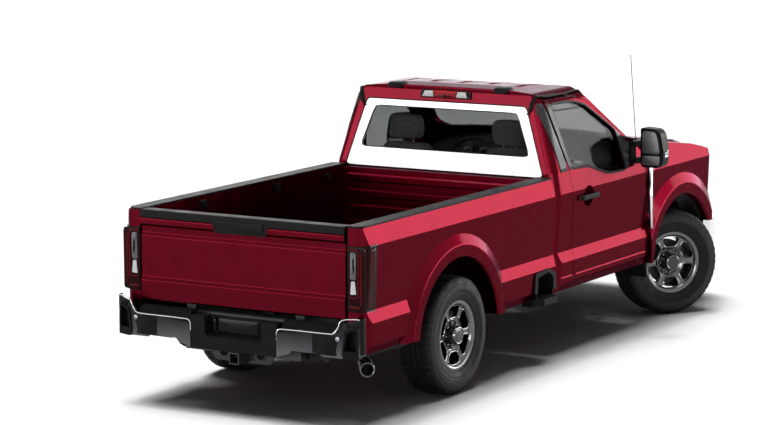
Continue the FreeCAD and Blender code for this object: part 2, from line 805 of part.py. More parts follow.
# The fuel door closes a pocket in the left wall and swings on two small pins
fuel_x = bed_front_x - 420
fuel_half = 92
fuel_z = 1030
fuel_hinge_x = fuel_x + fuel_half - 14
fuel_pin_y = size("waist_half") + 2
fuel_zone = block(fuel_x - fuel_half - 6, fuel_x + fuel_half + 8, 930, far,
                  fuel_z - fuel_half - 6, fuel_z + fuel_half + 6)
fuel_panel = block(fuel_x - fuel_half, fuel_x + fuel_half, fuel_pin_y - 8, far,
                   fuel_z - fuel_half, fuel_z + fuel_half).common(bed_wall(0))
fuel_pins = [rod((fuel_hinge_x, fuel_pin_y, fuel_z + sign * (fuel_half - 12)),
                 (fuel_hinge_x, fuel_pin_y, fuel_z + sign * (fuel_half + 8)), 3) for sign in (-1, 1)]
fuel_holes = [rod((fuel_hinge_x, fuel_pin_y, fuel_z + sign * (fuel_half - 14)),
                  (fuel_hinge_x, fuel_pin_y, fuel_z + sign * (fuel_half + 8)), 3 + clearance)
              for sign in (-1, 1)]
left_bedside = bedside.cut(fuel_zone)
left_bedside = left_bedside.multiFuse(fuel_pins)
feature("bedsides", Part.makeCompound([left_bedside, mirrored(bedside)]))
feature("fuel_door", fuel_panel.cut(Part.makeCompound(fuel_holes)))
corner_lamps = pair(lamp)

floor_rear_x = tailgate_rear_x + size("tailgate_thickness") + 12
floor_low = size("bed_floor_height - bed_floor_thickness")
wheelhouse_in = size("wheelhouse_half")
wall = size("wheelhouse_wall")
bed_shapes = [
    block(floor_rear_x, bed_front_x, -bed_inner, bed_inner, floor_low, size("bed_floor_height")),
    block(bed_front_x - size("bulkhead_thickness"), bed_front_x, -bed_inner, bed_inner,
          floor_low, rail_top - 8),
]
hollows = []
groove_end = bed_front_x - size("bulkhead_thickness")
for i in range(-4, 5):
    if i != 0:
        y = (abs(i) - 0.5) * math.copysign(size("floor_rib_pitch"), i)
        hollows.append(block(floor_rear_x + 90, groove_end - 60, y - 32, y + 32,
                             size("bed_floor_height") - 9, size("bed_floor_height") + 1))
for z in (900, 1020, 1140, 1260):
    bed_shapes.append(plate([(groove_end + 1, z - 34), (groove_end - 14, z - 22, 6),
                             (groove_end - 14, z + 22, 6), (groove_end + 1, z + 34)], "xz", -790, 790))
for sign in (-1, 1):
    axis_in = (arch_x, sign * wheelhouse_in, axle_z)
    axis_out = (arch_x, sign * bed_inner, axle_z)
    house = rod(axis_in, axis_out, size("arch_radius") + wall)
    bed_shapes.append(house.common(block(-far * 3, far * 3, -far, far, floor_low, far)))
    hollows.append(rod((arch_x, sign * (wheelhouse_in + wall), axle_z),
                       (arch_x, sign * (bed_inner + 50), axle_z), size("arch_radius")))
feature("bed_box", joined(bed_shapes).cut(Part.makeCompound(hollows)))

cap_plan = [
    (tail_x, size("cap_inner_half")), (tail_x, size("cap_outer_half"), 60),
    (bed_front_x, size("cap_outer_half")), (bed_front_x, size("cap_inner_half")),
]
rail_cap = plate(cap_plan, "xy", rail_top, rail_top + size("cap_thickness"))
feature("rail_caps", pair(rail_cap))

# Tailgate, hinged on two trunnions at its foot
gate_in_x = tailgate_rear_x + size("tailgate_thickness")
gate_low = size("tailgate_low")
gate_high = size("tailgate_high")
gate_face = tailgate_rear_x
gate_outline = [
    (gate_in_x, gate_low), (gate_in_x, gate_high - 8), (gate_face + 6, gate_high - 8),
    (gate_face + 6, gate_high - 52), (gate_face - 12, gate_high - 56, 12),
    (gate_face - 12, gate_high - 98, 14), (gate_face + 12, gate_high - 116, 8),
    (gate_face + 14, gate_high - 158, 8), (gate_face + 4, gate_high - 184, 10),
    (gate_face + 4, gate_low + 162, 10), (gate_face - 8, gate_low + 136, 10),
    (gate_face - 2, gate_low + 8, 6), (gate_face + 6, gate_low),
]
gate_half = size("tailgate_half")
gate = plate(gate_outline, "xz", -gate_half, gate_half)
moulding = plate([
    (gate_in_x, gate_high - 8), (gate_in_x, gate_high, 4), (gate_face - 10, gate_high, 10),
    (gate_face - 12, gate_high - 52), (gate_face + 6, gate_high - 52), (gate_face + 6, gate_high - 8)],
    "xz", -gate_half, gate_half)
handle_outline = [(230, gate_high - 52), (205, gate_high - 118, 16), (-205, gate_high - 118, 16),
                  (-230, gate_high - 52)]
handle_box = plate(handle_outline, "yz", gate_face - 14, gate_face + 24)
grip_hollow = plate([(168, gate_high - 60, 10), (150, gate_high - 106, 12), (-110, gate_high - 106, 12),
                     (-128, gate_high - 60, 10)], "yz", gate_face - 20, gate_face + 14)
lock_y = -168
lock = rod((gate_face - 16, lock_y, gate_high - 84), (gate_face, lock_y, gate_high - 84), 18)
paddle = plate([(gate_face - 14, gate_high - 58), (gate_face - 2, gate_high - 58),
                (gate_face + 8, gate_high - 96, 3), (gate_face - 2, gate_high - 98, 3)], "xz", -112, 152)
handle = joined([handle_box.cut(grip_hollow), paddle, lock])
gate_trim = joined([moulding, handle])
trunnion_holes = [
    rod((hinge_x, sign * (gate_half + 5), hinge_z),
        (hinge_x, sign * (gate_half - size("trunnion_length") - 4), hinge_z),
        size("trunnion_radius") + clearance) for sign in (-1, 1)]
feature("tailgate", gate.cut(handle_box).cut(Part.makeCompound(trunnion_holes)))
feature("tailgate_trim", gate_trim)

# Rear bumper: a shelf with two steel wings, then its black middle, step pads and corner steps

bumper_half = size("bumper_half")
shelf_z = size("bumper_shelf_height")
middle_half = size("bumper_middle_half")
wing_outline = [
    (middle_half, shelf_z - 20, 24), (800, shelf_z, 40), (850, 712, 40), (bumper_half, 752),
    (bumper_half, 500), (905, 478, 20), (712, 482, 14), (695, 500, 14), (472, 500, 14),
    (452, 478, 14), (middle_half, 446),
]
step_outline = [
    (856, 520), (880, 672, 16), (bumper_half - 24, 700, 16), (bumper_half - 20, 480), (866, 474, 16),
]
step_hollow = [(874, 532), (893, 656, 12), (bumper_half - 36, 680, 12), (bumper_half - 34, 532)]


def bumper_form(inset):
    """The bumper seen from above, its face moved forward by an inset."""
    face = rear_x + inset
    end = bumper_half - inset
    half = [(bumper_in_x, end), (face + 46, end, 40), (face + 26, 880, 200), (face, 560, 500)]
    outline = half + [(p[0], -p[1]) + tuple(p[2:]) for p in reversed(half)]
    return plate(outline, "xy", 380, 800)


steel = size("bumper_steel")
outside = bumper_form(0)
wings = pair(plate(wing_outline, "yz", rear_x - 20, bumper_in_x))
step_block = plate(step_outline, "yz", rear_x - 20, bumper_in_x - steel)
bumper_skin = outside.cut(bumper_form(steel)).common(wings)
shelf = block(rear_x + steel, bumper_in_x, middle_half, 838, shelf_z - 12, shelf_z)
beam = block(bumper_in_x - steel, bumper_in_x, -838, 838, 560, shelf_z)
bumper = joined([bumper_skin.common(outside), shelf.common(outside), mirrored(shelf).common(outside), beam])
bumper = bumper.cut(pair(step_block))
feature("rear_bumper", bumper)
pad = plate([(rear_x + 22, shelf_z), (rear_x + 56, 688, 16), (bumper_in_x, 694), (bumper_in_x, shelf_z)],
            "xz", middle_half + 24, 800).common(outside).cut(bumper)
middle = block(rear_x, bumper_in_x - steel, -middle_half, middle_half, 444, 668).common(bumper_form(4))
plate_half = 236
plate_foot_z = 532
plate_pocket = plate(
    [(plate_half, 800), (plate_half, plate_foot_z, 40), (-plate_half, plate_foot_z, 40), (-plate_half, 800)],
    "yz", rear_x - 20, rear_x + 78)
middle = middle.cut(plate_pocket)
corner_step = step_block.common(bumper_form(-8)).cut(
    plate(step_hollow, "yz", rear_x - 60, bumper_in_x - 2 * steel))
pad_shapes = [pad, mirrored(pad), middle, corner_step, mirrored(corner_step)]
feature("step_pads", Part.makeCompound(pad_shapes))

receiver_z = size("receiver_height")
bore = size("receiver_inner_half")
skin = bore + size("receiver_wall")
receiver_rear_x = rear_x + 8
hitch_shapes = [
    block(receiver_rear_x, receiver_rear_x + 300, -skin, skin, receiver_z - skin, receiver_z + skin),
    block(receiver_rear_x + 110, receiver_rear_x + 180, -470, 470, receiver_z + 10, receiver_z + 78),
]
for sign in (-1, 1):
    hitch_shapes.append(block(receiver_rear_x + 110, receiver_rear_x + 330, sign * 470, sign * 458,
                              receiver_z + 10, rear_rail_low + 60))
    hitch_shapes.append(block(receiver_rear_x + 260, receiver_rear_x + 330, sign * 470, sign * 440,
                              receiver_z + 60, rear_rail_low))
pin_x = receiver_rear_x + 70
hitch = joined(hitch_shapes)
hitch = hitch.cut(block(receiver_rear_x - 5, receiver_rear_x + 305, -bore, bore,
                        receiver_z - bore, receiver_z + bore))
hitch = hitch.cut(rod((pin_x, -100, receiver_z), (pin_x, 100, receiver_z), size("receiver_pin_radius")))
frame_cut = Part.makeCompound([PARTS["frame_rails"].Shape])
feature("hitch_receiver", hitch.cut(frame_cut))


# Cab: outer form, cavity, openings

angle = math.radians(size("windshield_angle"))
glass_normal = Vector(math.sin(angle), 0, math.cos(angle))
glass_slope = Vector(-math.cos(angle), 0, math.sin(angle))


def windshield_side(inset):
    """Everything behind the curved windshield surface, moved inward."""
    radius = size("windshield_radius")
    base = Vector(cowl_x, 0, size("cowl_height")) - glass_normal * (radius + inset)
    start = base - glass_slope * 4000
    return Part.makeCylinder(radius, 8000, start, glass_slope)


def cab_form(side, top, back, front, low):
    """The cab's solid form with each wall moved inward."""
    lift = size("cab_back_height")
    rake = size("cab_back_rake")
    half = [
        (size("side_low_half") - side, low),
        (size("sill_half") - side, size("sill_height")),
        (size("band_half") - side, size("band_low"), 12),
        (size("waist_half") - side, size("band_high"), 12),
        (size("shoulder_half") - side, size("shoulder_height"), 30),
        (size("belt_half") - side, size("belt_height"), 20),
        (size("roof_side_half") - side, size("roof_side_height"), 90),
        (size("roof_corner_half") - side, size("roof_corner_height") - top, 90),
        (420, size("roof_height") - top - 8, 400),
    ]
    if low > size("sill_height"):
        half = [(size("waist_half") - side, low)] + half[5:]
    body = plate(both_ways(half), "yz", cab_rear_x - 10, cowl_x + 60)
    x0 = cab_rear_x + back
    roof = size("roof_height") - top
    profile = [
        (x0, low), (x0, size("rail_height"), 200), (x0 + rake, lift, 60),
        (x0 + rake + 22, size("roof_rear_height") - top, 40),
        (x0 + 330, roof, 500), (cab_rear_x + 720, roof - 36, 500), (cowl_x + 40 - front, roof - 180),
        (cowl_x + 40 - front, size("cowl_height") - 34),
        (door_front_x + 16 - front, size("cowl_height") - 34),
        (door_front_x + 16 - front, low),
    ]
    return body.common(plate(profile, "xz", -far, far)).common(windshield_side(front))


def cab_plan_form():
    """A tall form whose rear corners are rounded in plan at every height."""
    rake = size("cab_back_rake")
    stations = [
        (size("side_low") - 10, size("band_half"), 0),
        (size("shoulder_height"), size("shoulder_half"), 0),
        (size("belt_height"), size("belt_half"), 3),
        (size("roof_side_height"), size("roof_side_half"), rake + 3),
        (size("roof_height") + 60, size("roof_corner_half") - 20, rake + 30),
    ]
    corner = size("cab_corner_radius")
    wires = []
    for z, half, back in stations:
        rear = cab_rear_x + back
        wire = rounded_wire([(rear, -half, corner), (rear, half, corner), (cowl_x + 100, half),
                             (cowl_x + 100, -half)], "xy")
        wire.translate(Vector(0, 0, z))
        wires.append(wire)
    return Part.makeLoft(wires, True, True)


floor_top = size("cab_floor_height")
cab_outer = cab_form(0, 0, 0, 0, size("side_low")).common(cab_plan_form())
cavity_half = size("belt_half") - size("cab_wall")
upper = size("upper_wall")
cavity = cab_form(upper, size("roof_wall"), size("back_wall"), size("firewall_thickness"), floor_top)
waist_cut = [
    (cavity_half, floor_top), (cavity_half, size("belt_height")),
    (size("roof_side_half") - upper, size("roof_side_height")), (size("roof_side_half"), 2100),
]
cavity = cavity.common(plate(both_ways(waist_cut), "yz", cab_rear_x - 10, cowl_x + 60))
under = block(cab_rear_x - 10, cowl_x + 60, -cavity_half, cavity_half, 400,
              floor_top - size("cab_floor_thickness"))
walls = cab_outer.cut(cavity).cut(under)
rib_depth = size("roof_groove_depth")
roof_core = cab_form(-10, rib_depth, -10, -10, floor_top)
grooves = [block(cab_rear_x + 290, cab_rear_x + 1010, y - 34, y + 34, 1930, 2100).cut(roof_core)
           for y in (-500, -250, 0, 250, 500)]
walls = walls.cut(Part.makeCompound(grooves))

belt = size("belt_height")
door_low = size("door_low")
gap = size("door_gap")


def door_edge(shift):
    """Side outline of the door, its rear edge moved forward by a shift."""
    return [
        (door_rear_x - 2 + shift, door_low, 30),
        (door_rear_x + 14 + shift, 700, 400),
        (door_rear_x + 16 + shift, 1180, 200),
        (door_rear_x - 18 + shift, belt, 200),
        (door_rear_x - 145 + shift, 1903, 20),
        (door_rear_x + 310, 1893, 200),
        (door_rear_x + 520, 1845, 200),
        (door_front_x - 150, 1452, 20),
        (door_front_x, 1350, 60),
        (door_front_x, door_low, 30),
    ]


door_step = 12
door_skin_y = size("door_hinge_half") - 34
jamb = cavity_half - 30
jamb_gap = 7


def door_depth(face, low, start, end):
    """A door outline cut to the jamb below the belt and to the cabin above it."""
    upper_part = through(face, 600, far).common(block(-far, end, 600, far, start, 1950))
    return through(face, low, far).fuse(upper_part)


opening = door_depth(widened(door_edge(0), gap), jamb, 1330, door_front_x - 35)
opening = opening.fuse(block(door_front_x - 60, door_front_x + size("door_front_gap"), jamb, far,
                             door_low - gap, 1340))
window_outline = [
    (door_rear_x + 44, belt + 16, 20), (door_rear_x + 304, belt + 14, 60),
    (door_rear_x + 417, belt - 22, 60), (door_rear_x + 604, belt - 76, 60),
    (door_front_x - 380, belt - 90, 12), (door_front_x - 420, 1592, 20),
    (door_rear_x + 480, 1812, 160), (door_rear_x + 297, 1858, 200),
    (door_rear_x - 42, 1870, 20),
]
screen_outline = [(800, 1512, 60), (640, 1925, 60), (-640, 1925, 60), (-800, 1512, 60)]
screen_zone = plate(screen_outline, "yz", cab_rear_x + 500, cowl_x + 100)
back_outline = [(861, 1346, 30), (690, 1860, 30), (-690, 1860, 30), (-861, 1346, 30)]
pane_outline = [(735, 1493, 20), (617, 1810, 30), (-617, 1810, 30), (-735, 1493, 20)]
back_zone = plate(back_outline, "yz", cab_rear_x - 60, cab_rear_x + 250)
pane_zone = plate(pane_outline, "yz", cab_rear_x - 60, cab_rear_x + 250)

hinge_zs = [size("lower_hinge_height"), size("upper_hinge_height")]
door_axis_x = door_front_x - size("door_hinge_inset")
door_axis_y = size("door_hinge_half")
pin_radius = size("hinge_pin_radius")
reach = size("hinge_half_height")
straps = []
pockets = []
for z in hinge_zs:
    straps.append(rod((door_axis_x, door_axis_y, z - reach - 16), (door_axis_x, door_axis_y, z + reach + 16),
                      pin_radius))
    straps.append(block(door_axis_x - 6, door_axis_x + 6, jamb - 14, door_axis_y, z - 18, z + 18))
    straps.append(block(door_axis_x - 6, door_front_x - 10, jamb - 14, jamb - 2, z - 18, z + 18))
    pockets.append(block(door_axis_x - 14, door_front_x + 50, cavity_half - 50, door_axis_y + 9,
                         z - reach, z + reach))
    pockets.append(rod((door_axis_x, door_axis_y, z - reach - 18),
                       (door_axis_x, door_axis_y, z + reach + 18), pin_radius + clearance))

fender_seat = block(door_front_x + size("door_front_gap") - 4, cowl_x + 100,
                    size("hood_half"), far, 400, 1600)
walls = walls.cut(fender_seat).cut(mirrored(fender_seat))
shell = walls.cut(opening).cut(mirrored(opening)).cut(screen_zone).cut(back_zone)
for strap in straps:
    shell = shell.fuse(strap).fuse(mirrored(strap))
feature("cab_shell", shell)


def skin_layer(zone, outer_inset, inner_inset):
    """A thin layer under the cab's surface inside a zone."""
    outside = cab_form(outer_inset, outer_inset, outer_inset, outer_inset, size("side_low"))
    inside = cab_form(inner_inset, inner_inset, inner_inset, inner_inset, size("side_low"))
    return outside.common(zone).cut(inside)


thick = size("glass_thickness")
screen = skin_layer(screen_zone, 4, 4 + thick)
frame_layer = skin_layer(back_zone, 2, 30).cut(pane_zone)
feature("rear_window_frame", frame_layer)
feature("cab_glass", Part.makeCompound([screen, skin_layer(pane_zone, 8, 8 + thick)]))

outer_door = through(Part.Face(rounded_wire(door_edge(0), "xz")), door_skin_y, far)
inner_door = door_depth(Part.Face(rounded_wire(door_edge(door_step), "xz")), jamb + jamb_gap,
                        1330 + jamb_gap, door_front_x - 35 - jamb_gap)
inner_door = inner_door.common(block(-far, far, 0, door_skin_y, 0, 2000))
window_zone = through(Part.Face(rounded_wire(window_outline, "xz")), 600, far)
mirror_x = door_front_x - 365
mirror_y = 1010
mirror_pin = mirror_x + 8
ears = [block(mirror_pin - 14, mirror_pin + 14, 900, mirror_y + 14, z, z + 18) for z in (1308, 1504)]
ears.append(rod((mirror_pin, mirror_y, 1308), (mirror_pin, mirror_y, 1522), 7))
door = walls.common(outer_door.fuse(inner_door)).cut(window_zone).cut(Part.makeCompound(pockets))
handle_z = size("handle_height")
cup_x = door_rear_x + 258
door = door.cut(Part.makeSphere(92, Vector(cup_x, size("shoulder_half") + 42, handle_z)))
grip = plate([
    (door_rear_x + 96, 974), (door_rear_x + 116, 1016, 24), (door_rear_x + 380, 1016, 24),
    (door_rear_x + 402, 974), (door_rear_x + 360, 974), (door_rear_x + 346, 1000, 12),
    (door_rear_x + 150, 1000, 12), (door_rear_x + 136, 974)], "xy", handle_z - 16, handle_z + 16)
door = joined([door, grip] + ears)
pane = skin_layer(window_zone, 16, 16 + thick)
pane = pane.common(block(-far, far * 2, 0, far, 1200, 1950))
for side in ("left", "right"):
    place = (lambda shape: shape) if side == "left" else mirrored
    feature("door_" + side, place(door))
    feature("door_glass_" + side, place(pane))

# Mirrors fold about an upright pin held by an ear on the door
head_outline = [
    (1050, 1292, 30), (1238, 1292, 60), (1246, 1420, 60), (1215, 1592, 70), (1050, 1600, 20),
]
head = plate(head_outline, "yz", mirror_x + 92, mirror_x + 192)
arms = [
    block(mirror_x - 10, mirror_x + 110, mirror_y - 14, 1060, 1462, 1500),
    block(mirror_x + 40, mirror_x + 110, mirror_y - 14, 1060, 1330, 1368),
    block(mirror_pin - 14, mirror_pin + 60, mirror_y - 14, mirror_y + 14, 1330, 1500),
]
fold_hole = rod((mirror_pin, mirror_y, 1300), (mirror_pin, mirror_y, 1540), 7 + clearance)
mirror_shape = joined([head] + arms).cut(fold_hole)
for side in ("left", "right"):
    place = (lambda shape: shape) if side == "left" else mirrored
    feature("mirror_" + side, place(mirror_shape))

# Hood over the engine, hinged at its rear corners
hood_half = size("hood_half")
hood_rear_x = door_front_x + 44
nose_x = front_x - size("nose_setback")
hood_line = [
    (hood_rear_x, 1466, 1444), (front_axle_x - 300, 1436, 1412), (front_axle_x + 100, 1394, 1366),
    (front_axle_x + 450, 1346, 1312), (nose_x - 190, 1312, 1276), (nose_x - 70, 1282, 1250),
    (nose_x - 30, 1262, 1238),
]


def hood_section(x, top, edge):
    """Outline across the hood: a raised middle between two creases."""
    low = edge - size("hood_thickness")
    dome = hood_half - size("hood_crease")
    points = [
        (hood_half, low), (hood_half, edge), (dome + 34, edge + 4), (dome, top - 6), (dome - 160, top),
        (160 - dome, top), (-dome, top - 6), (-dome - 34, edge + 4), (-hood_half, edge),
        (-hood_half, low), (-dome, low), (-dome + 40, top - 36), (dome - 40, top - 36), (dome, low),
    ]
    wire = Part.makePolygon([Vector(x, y, z) for y, z in points + points[:1]])
    return wire


hood = Part.makeLoft([hood_section(*station) for station in hood_line], True, True)
hood = hood.cut(windshield_side(-28))
hood_axis_x = door_front_x + 46
hood_axis_z = 1412
hood_pin = 7
hood_lug = block(hood_axis_x - 18, hood_axis_x + 24, hood_half - 34, hood_half,
                 hood_axis_z - 18, hood_axis_z + 14)
hood_hole = rod((hood_axis_x, hood_half - 36, hood_axis_z), (hood_axis_x, hood_half + 5, hood_axis_z),
                hood_pin + clearance)
hood_holes = Part.makeCompound([hood_hole, mirrored(hood_hole)])
feature("hood", joined([hood, hood_lug, mirrored(hood_lug)]).cut(hood_holes))

# Front fenders with their wheel openings
fender_inner = hood_half + size("hood_gap")
fender_rear_x = door_front_x + size("door_front_gap")
fender_front_x = front_axle_x + 544
fender_side = side_outline(fender_inner, 1500, fender_inner + 137)
fender = plate(fender_side, "yz", fender_rear_x, fender_front_x)
fender_profile = [
    (fender_rear_x, 480), (fender_rear_x, 1452), (front_axle_x - 300, 1418, 900),
    (front_axle_x + 250, 1348, 900), (fender_front_x, 1280), (fender_front_x, 480),
]
fender = fender.common(plate(fender_profile, "xz", 0, far))
front_cut = rod((front_axle_x, 0, axle_z), (front_axle_x, far, axle_z), size("front_arch_radius"))
fender = fender.cut(front_cut)
fender = fender.fuse(flare(front_axle_x, size("front_flare_radius"), size("front_arch_radius"),
                           fender_inner + 60))
fender = fender.cut(block(front_axle_x + 400, front_axle_x + 900, 0, far, 400, 690))
fender = fender.cut(block(fender_front_x, fender_front_x + 200, 0, far, 400, 1600))
fender = fender.cut(block(fender_rear_x - 200, fender_rear_x, 0, far, 400, 1600))
fender = fender.fuse(rod((hood_axis_x, fender_inner + 20, hood_axis_z),
                         (hood_axis_x, hood_half - 34, hood_axis_z), hood_pin))
feature("front_fenders", pair(fender))

# Nose: lamps, grille and front bumper
nose_plan = [
    (fender_front_x, 900), (fender_front_x + 90, 930, 60), (nose_x - 40, 820, 160),
    (nose_x, 500, 300), (nose_x, -500, 300), (nose_x - 40, -820, 160),
    (fender_front_x + 90, -930, 60), (fender_front_x, -900),
]
nose = plate(nose_plan, "xy", 690, 1256)
nose = nose.cut(block(fender_front_x - 10, nose_x - 80, -800, 800, 600, 1300))
nose = nose.cut(block(fender_front_x - 10, front_x, -fender_inner, fender_inner, 1192, 1300))
lamp_in_y = 640
headlamp_zone = block(fender_front_x, nose_x + 10, lamp_in_y, far, 960, 1256)
headlamp = nose.common(headlamp_zone)
lens_outline = [(lamp_in_y + 26, 988, 20), (far, 988), (far, 1228), (lamp_in_y + 26, 1228, 20)]
lens_zone = plate(lens_outline, "yz", fender_front_x + 40, nose_x + 20)
nose_back = nose.copy()
nose_back.translate(Vector(-26, -18, 0))
headlamp = headlamp.cut(lens_zone.cut(nose_back))
headlamp = headlamp.cut(block(fender_front_x - 10, nose_x - 170, 0, 800, 600, 1300))
lamp_parts = [headlamp]
for z in (1164, 1052):
    lamp_parts.append(rod((nose_x - 100, 726, z), (nose_x - 44, 726, z), 42))
headlamp_shape = joined(lamp_parts)
feature("headlamps", pair(headlamp_shape))

# Grille: an opening with upright fins behind two wide bars
grille_wall = nose.cut(headlamp_zone).cut(mirrored(headlamp_zone))
grille_wall = grille_wall.cut(block(fender_front_x - 10, nose_x - 70, -810, 810, 600, 1300))
grille_mouth = [(590, 1152, 40), (520, 770, 60), (-520, 770, 60), (-590, 1152, 40)]
mouth = plate(grille_mouth, "yz", nose_x - 200, nose_x + 20)
nose_core = nose.copy()
nose_core.translate(Vector(-48, 0, 0))
grille_wall = grille_wall.cut(mouth.cut(nose_core))
bar_form = nose.copy()
bar_form.translate(Vector(-8, 0, 0))
bars = [block(nose_x - 90, nose_x, -600, 600, z - 28, z + 28) for z in (1066, 922)]
fin_form = nose.copy()
fin_form.translate(Vector(-30, 0, 0))
fins = [block(nose_x - 90, nose_x, y - 5, y + 5, 780, 1140) for y in range(-500, 501, 50)]
grille_bars = Part.makeCompound(bars).common(bar_form).common(mouth)
grille_fins = Part.makeCompound(fins).common(fin_form).common(mouth)
grille_shape = joined([grille_wall] + grille_bars.Solids + grille_fins.Solids)
feature("grille", grille_shape.cut(PARTS["front_fenders"].Shape))
front_bumper_plan = [
    (fender_front_x + 10, 930), (fender_front_x + 60, 965, 60), (front_x - 60, 900, 200),
    (front_x, 600, 300), (front_x, -600, 300), (front_x - 60, -900, 200),
    (fender_front_x + 60, -965, 60), (fender_front_x + 10, -930), (fender_front_x + 150, -800, 60),
    (front_x - 110, -500, 100), (front_x - 110, 500, 100), (fender_front_x + 150, 800, 60),
]
front_bumper = plate(front_bumper_plan, "xy", 480, 684)
bumper_core = front_bumper.copy()
bumper_core.translate(Vector(-42, 0, 0))
intake = plate([(430, 612, 24), (390, 530, 24), (-390, 530, 24), (-430, 612, 24)], "yz",
               front_x - 200, front_x + 20)
front_cuts = [intake.cut(bumper_core)]
for sign in (-1, 1):
    fog_zone = rod((front_x - 240, sign * 740, 586), (front_x + 10, sign * 740, 586), 48)
    front_cuts.append(fog_zone.cut(bumper_core))
    front_cuts.append(block(front_x - 60, front_x + 20, sign * 545, sign * 600, 540, 590))
feature("front_bumper", front_bumper.cut(Part.makeCompound(front_cuts)))

# Interior
seats = []
seat_x = cab_rear_x + 187
seat_half = 250
for y in (-420, 420):
    base = plate([(seat_x + 60, floor_top), (seat_x + 60, 960), (seat_x + 760, 1000), (seat_x + 790, 900),
                  (seat_x + 740, floor_top)], "xz", y - seat_half, y + seat_half)
    back = plate([(seat_x, 930), (seat_x + 270, 930), (seat_x + 150, 1560, 30), (seat_x + 30, 1570, 30)],
                 "xz", y - seat_half + 10, y + seat_half - 10)
    rest = plate([(seat_x + 40, 1520), (seat_x + 130, 1520), (seat_x + 120, 1740, 30),
                  (seat_x + 30, 1740, 30)], "xz", y - 130, y + 130)
    seats.append(joined([base, back, rest]))
feature("seats", Part.makeCompound(seats))
column_start = Vector(door_front_x - 120, 385, 1130)
column_axis = Vector(-math.cos(math.radians(24)), 0, math.sin(math.radians(24)))
wheel_centre = column_start + column_axis * 330
dash_front_x = door_front_x + 16 - size("firewall_thickness")
dash = plate([
    (dash_front_x, 1000), (dash_front_x, 1440), (dash_front_x - 60, 1440, 30),
    (dash_front_x - 330, 1310, 60), (dash_front_x - 360, 1150, 40), (dash_front_x - 200, 980)],
    "xz", 44 - cavity_half, cavity_half - 44)
dash = dash.common(cavity)
column = Part.makeCylinder(22, 320, column_start, column_axis)
stalk = Part.makeCylinder(9, 350, column_start, column_axis)
feature("dashboard", joined([dash, column, stalk]).cut(PARTS["cab_shell"].Shape))
ring = Part.makeTorus(size("wheel_rim_radius"), size("wheel_rim_tube"), wheel_centre, column_axis)
hub = Part.makeCylinder(60, 34, wheel_centre - column_axis * 6, column_axis)
spokes = []
for turn in (0, 90, 180, 270):
    arm = block(0, size("wheel_rim_radius"), -14, 14, 2, 16)
    arm.rotate(Vector(0, 0, 0), Vector(0, 0, 1), turn)
    arm.Placement = Placement(wheel_centre, Rotation(Vector(0, 0, 1), column_axis)).multiply(arm.Placement)
    spokes.append(arm)
steering = joined([ring, hub] + spokes)
steering = steering.cut(Part.makeCylinder(9 + clearance, 60, wheel_centre - column_axis * 30, column_axis))
feature("steering_wheel", steering)

# Lamp at the roof's rear edge, antenna, and steps beside the bed
brake_zone = block(cab_rear_x - 60, cab_rear_x + 140, -215, 215, 1892, 1944)
lamp_layer = cab_form(-14, -14, -14, -14, size("side_low")).common(brake_zone).cut(cab_outer)
feature("rear_lamps", Part.makeCompound([corner_lamps, lamp_layer]))
antenna_x = front_axle_x - 530
antenna_y = -fender_inner - 63
antenna = [
    rod((antenna_x, antenna_y, 1425), (antenna_x, antenna_y, 1470), 16),
    rod((antenna_x, antenna_y, 1460), (antenna_x - 116, antenna_y - 9, 2138), 3),
]
feature("antenna", joined(antenna).cut(PARTS["front_fenders"].Shape))
step_frame = plate(box_step_outline, "xz", size("waist_half") - 30, size("band_half") + 10)
step_liner = box_step_pocket.common(block(-far, far, 0, size("band_half"), 0, far))
step_pad = plate([
    (box_step_rear_x - 30, 905), (box_step_rear_x - 20, 1000, 30), (box_step_rear_x + 60, 1045, 30),
    (bed_front_x - 60, 1045, 30), (bed_front_x - 40, 905)], "xy", 448, 500)
arm = block(box_step_rear_x + 120, bed_front_x - 100, 470, 920, 452, 486)
step = joined([step_frame, step_liner]).cut(box_step_hollow)
step = joined([step, step_pad, arm])
step_neighbours = [PARTS[name].Shape for name in ("bedsides", "frame_rails", "bed_box")]
feature("side_steps", pair(step.cut(Part.makeCompound(step_neighbours))))


def finish():
    """Recompute, check every object, and write one file for each sub-part."""
    doc.recompute()
    for item in doc.Objects:
        if "Invalid" in item.State or "Error" in item.State:
            raise RuntimeError(item.Name + " failed: " + ", ".join(item.State))
    for name, item in PARTS.items():
        if item.Shape.isNull() or not item.Shape.isValid():
            raise RuntimeError(name + " has a faulty shape")
    os.makedirs("parts", exist_ok=True)
    for name, item in PARTS.items():
        item.Shape.exportStep("parts/" + name + ".step")
        print(name, round(item.Shape.Volume / 1e6, 2), len(item.Shape.Solids))


finish()
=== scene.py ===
import json
import math

import bmesh
import bpy
from mathutils import Matrix, Vector
from mathutils.bvhtree import BVHTree


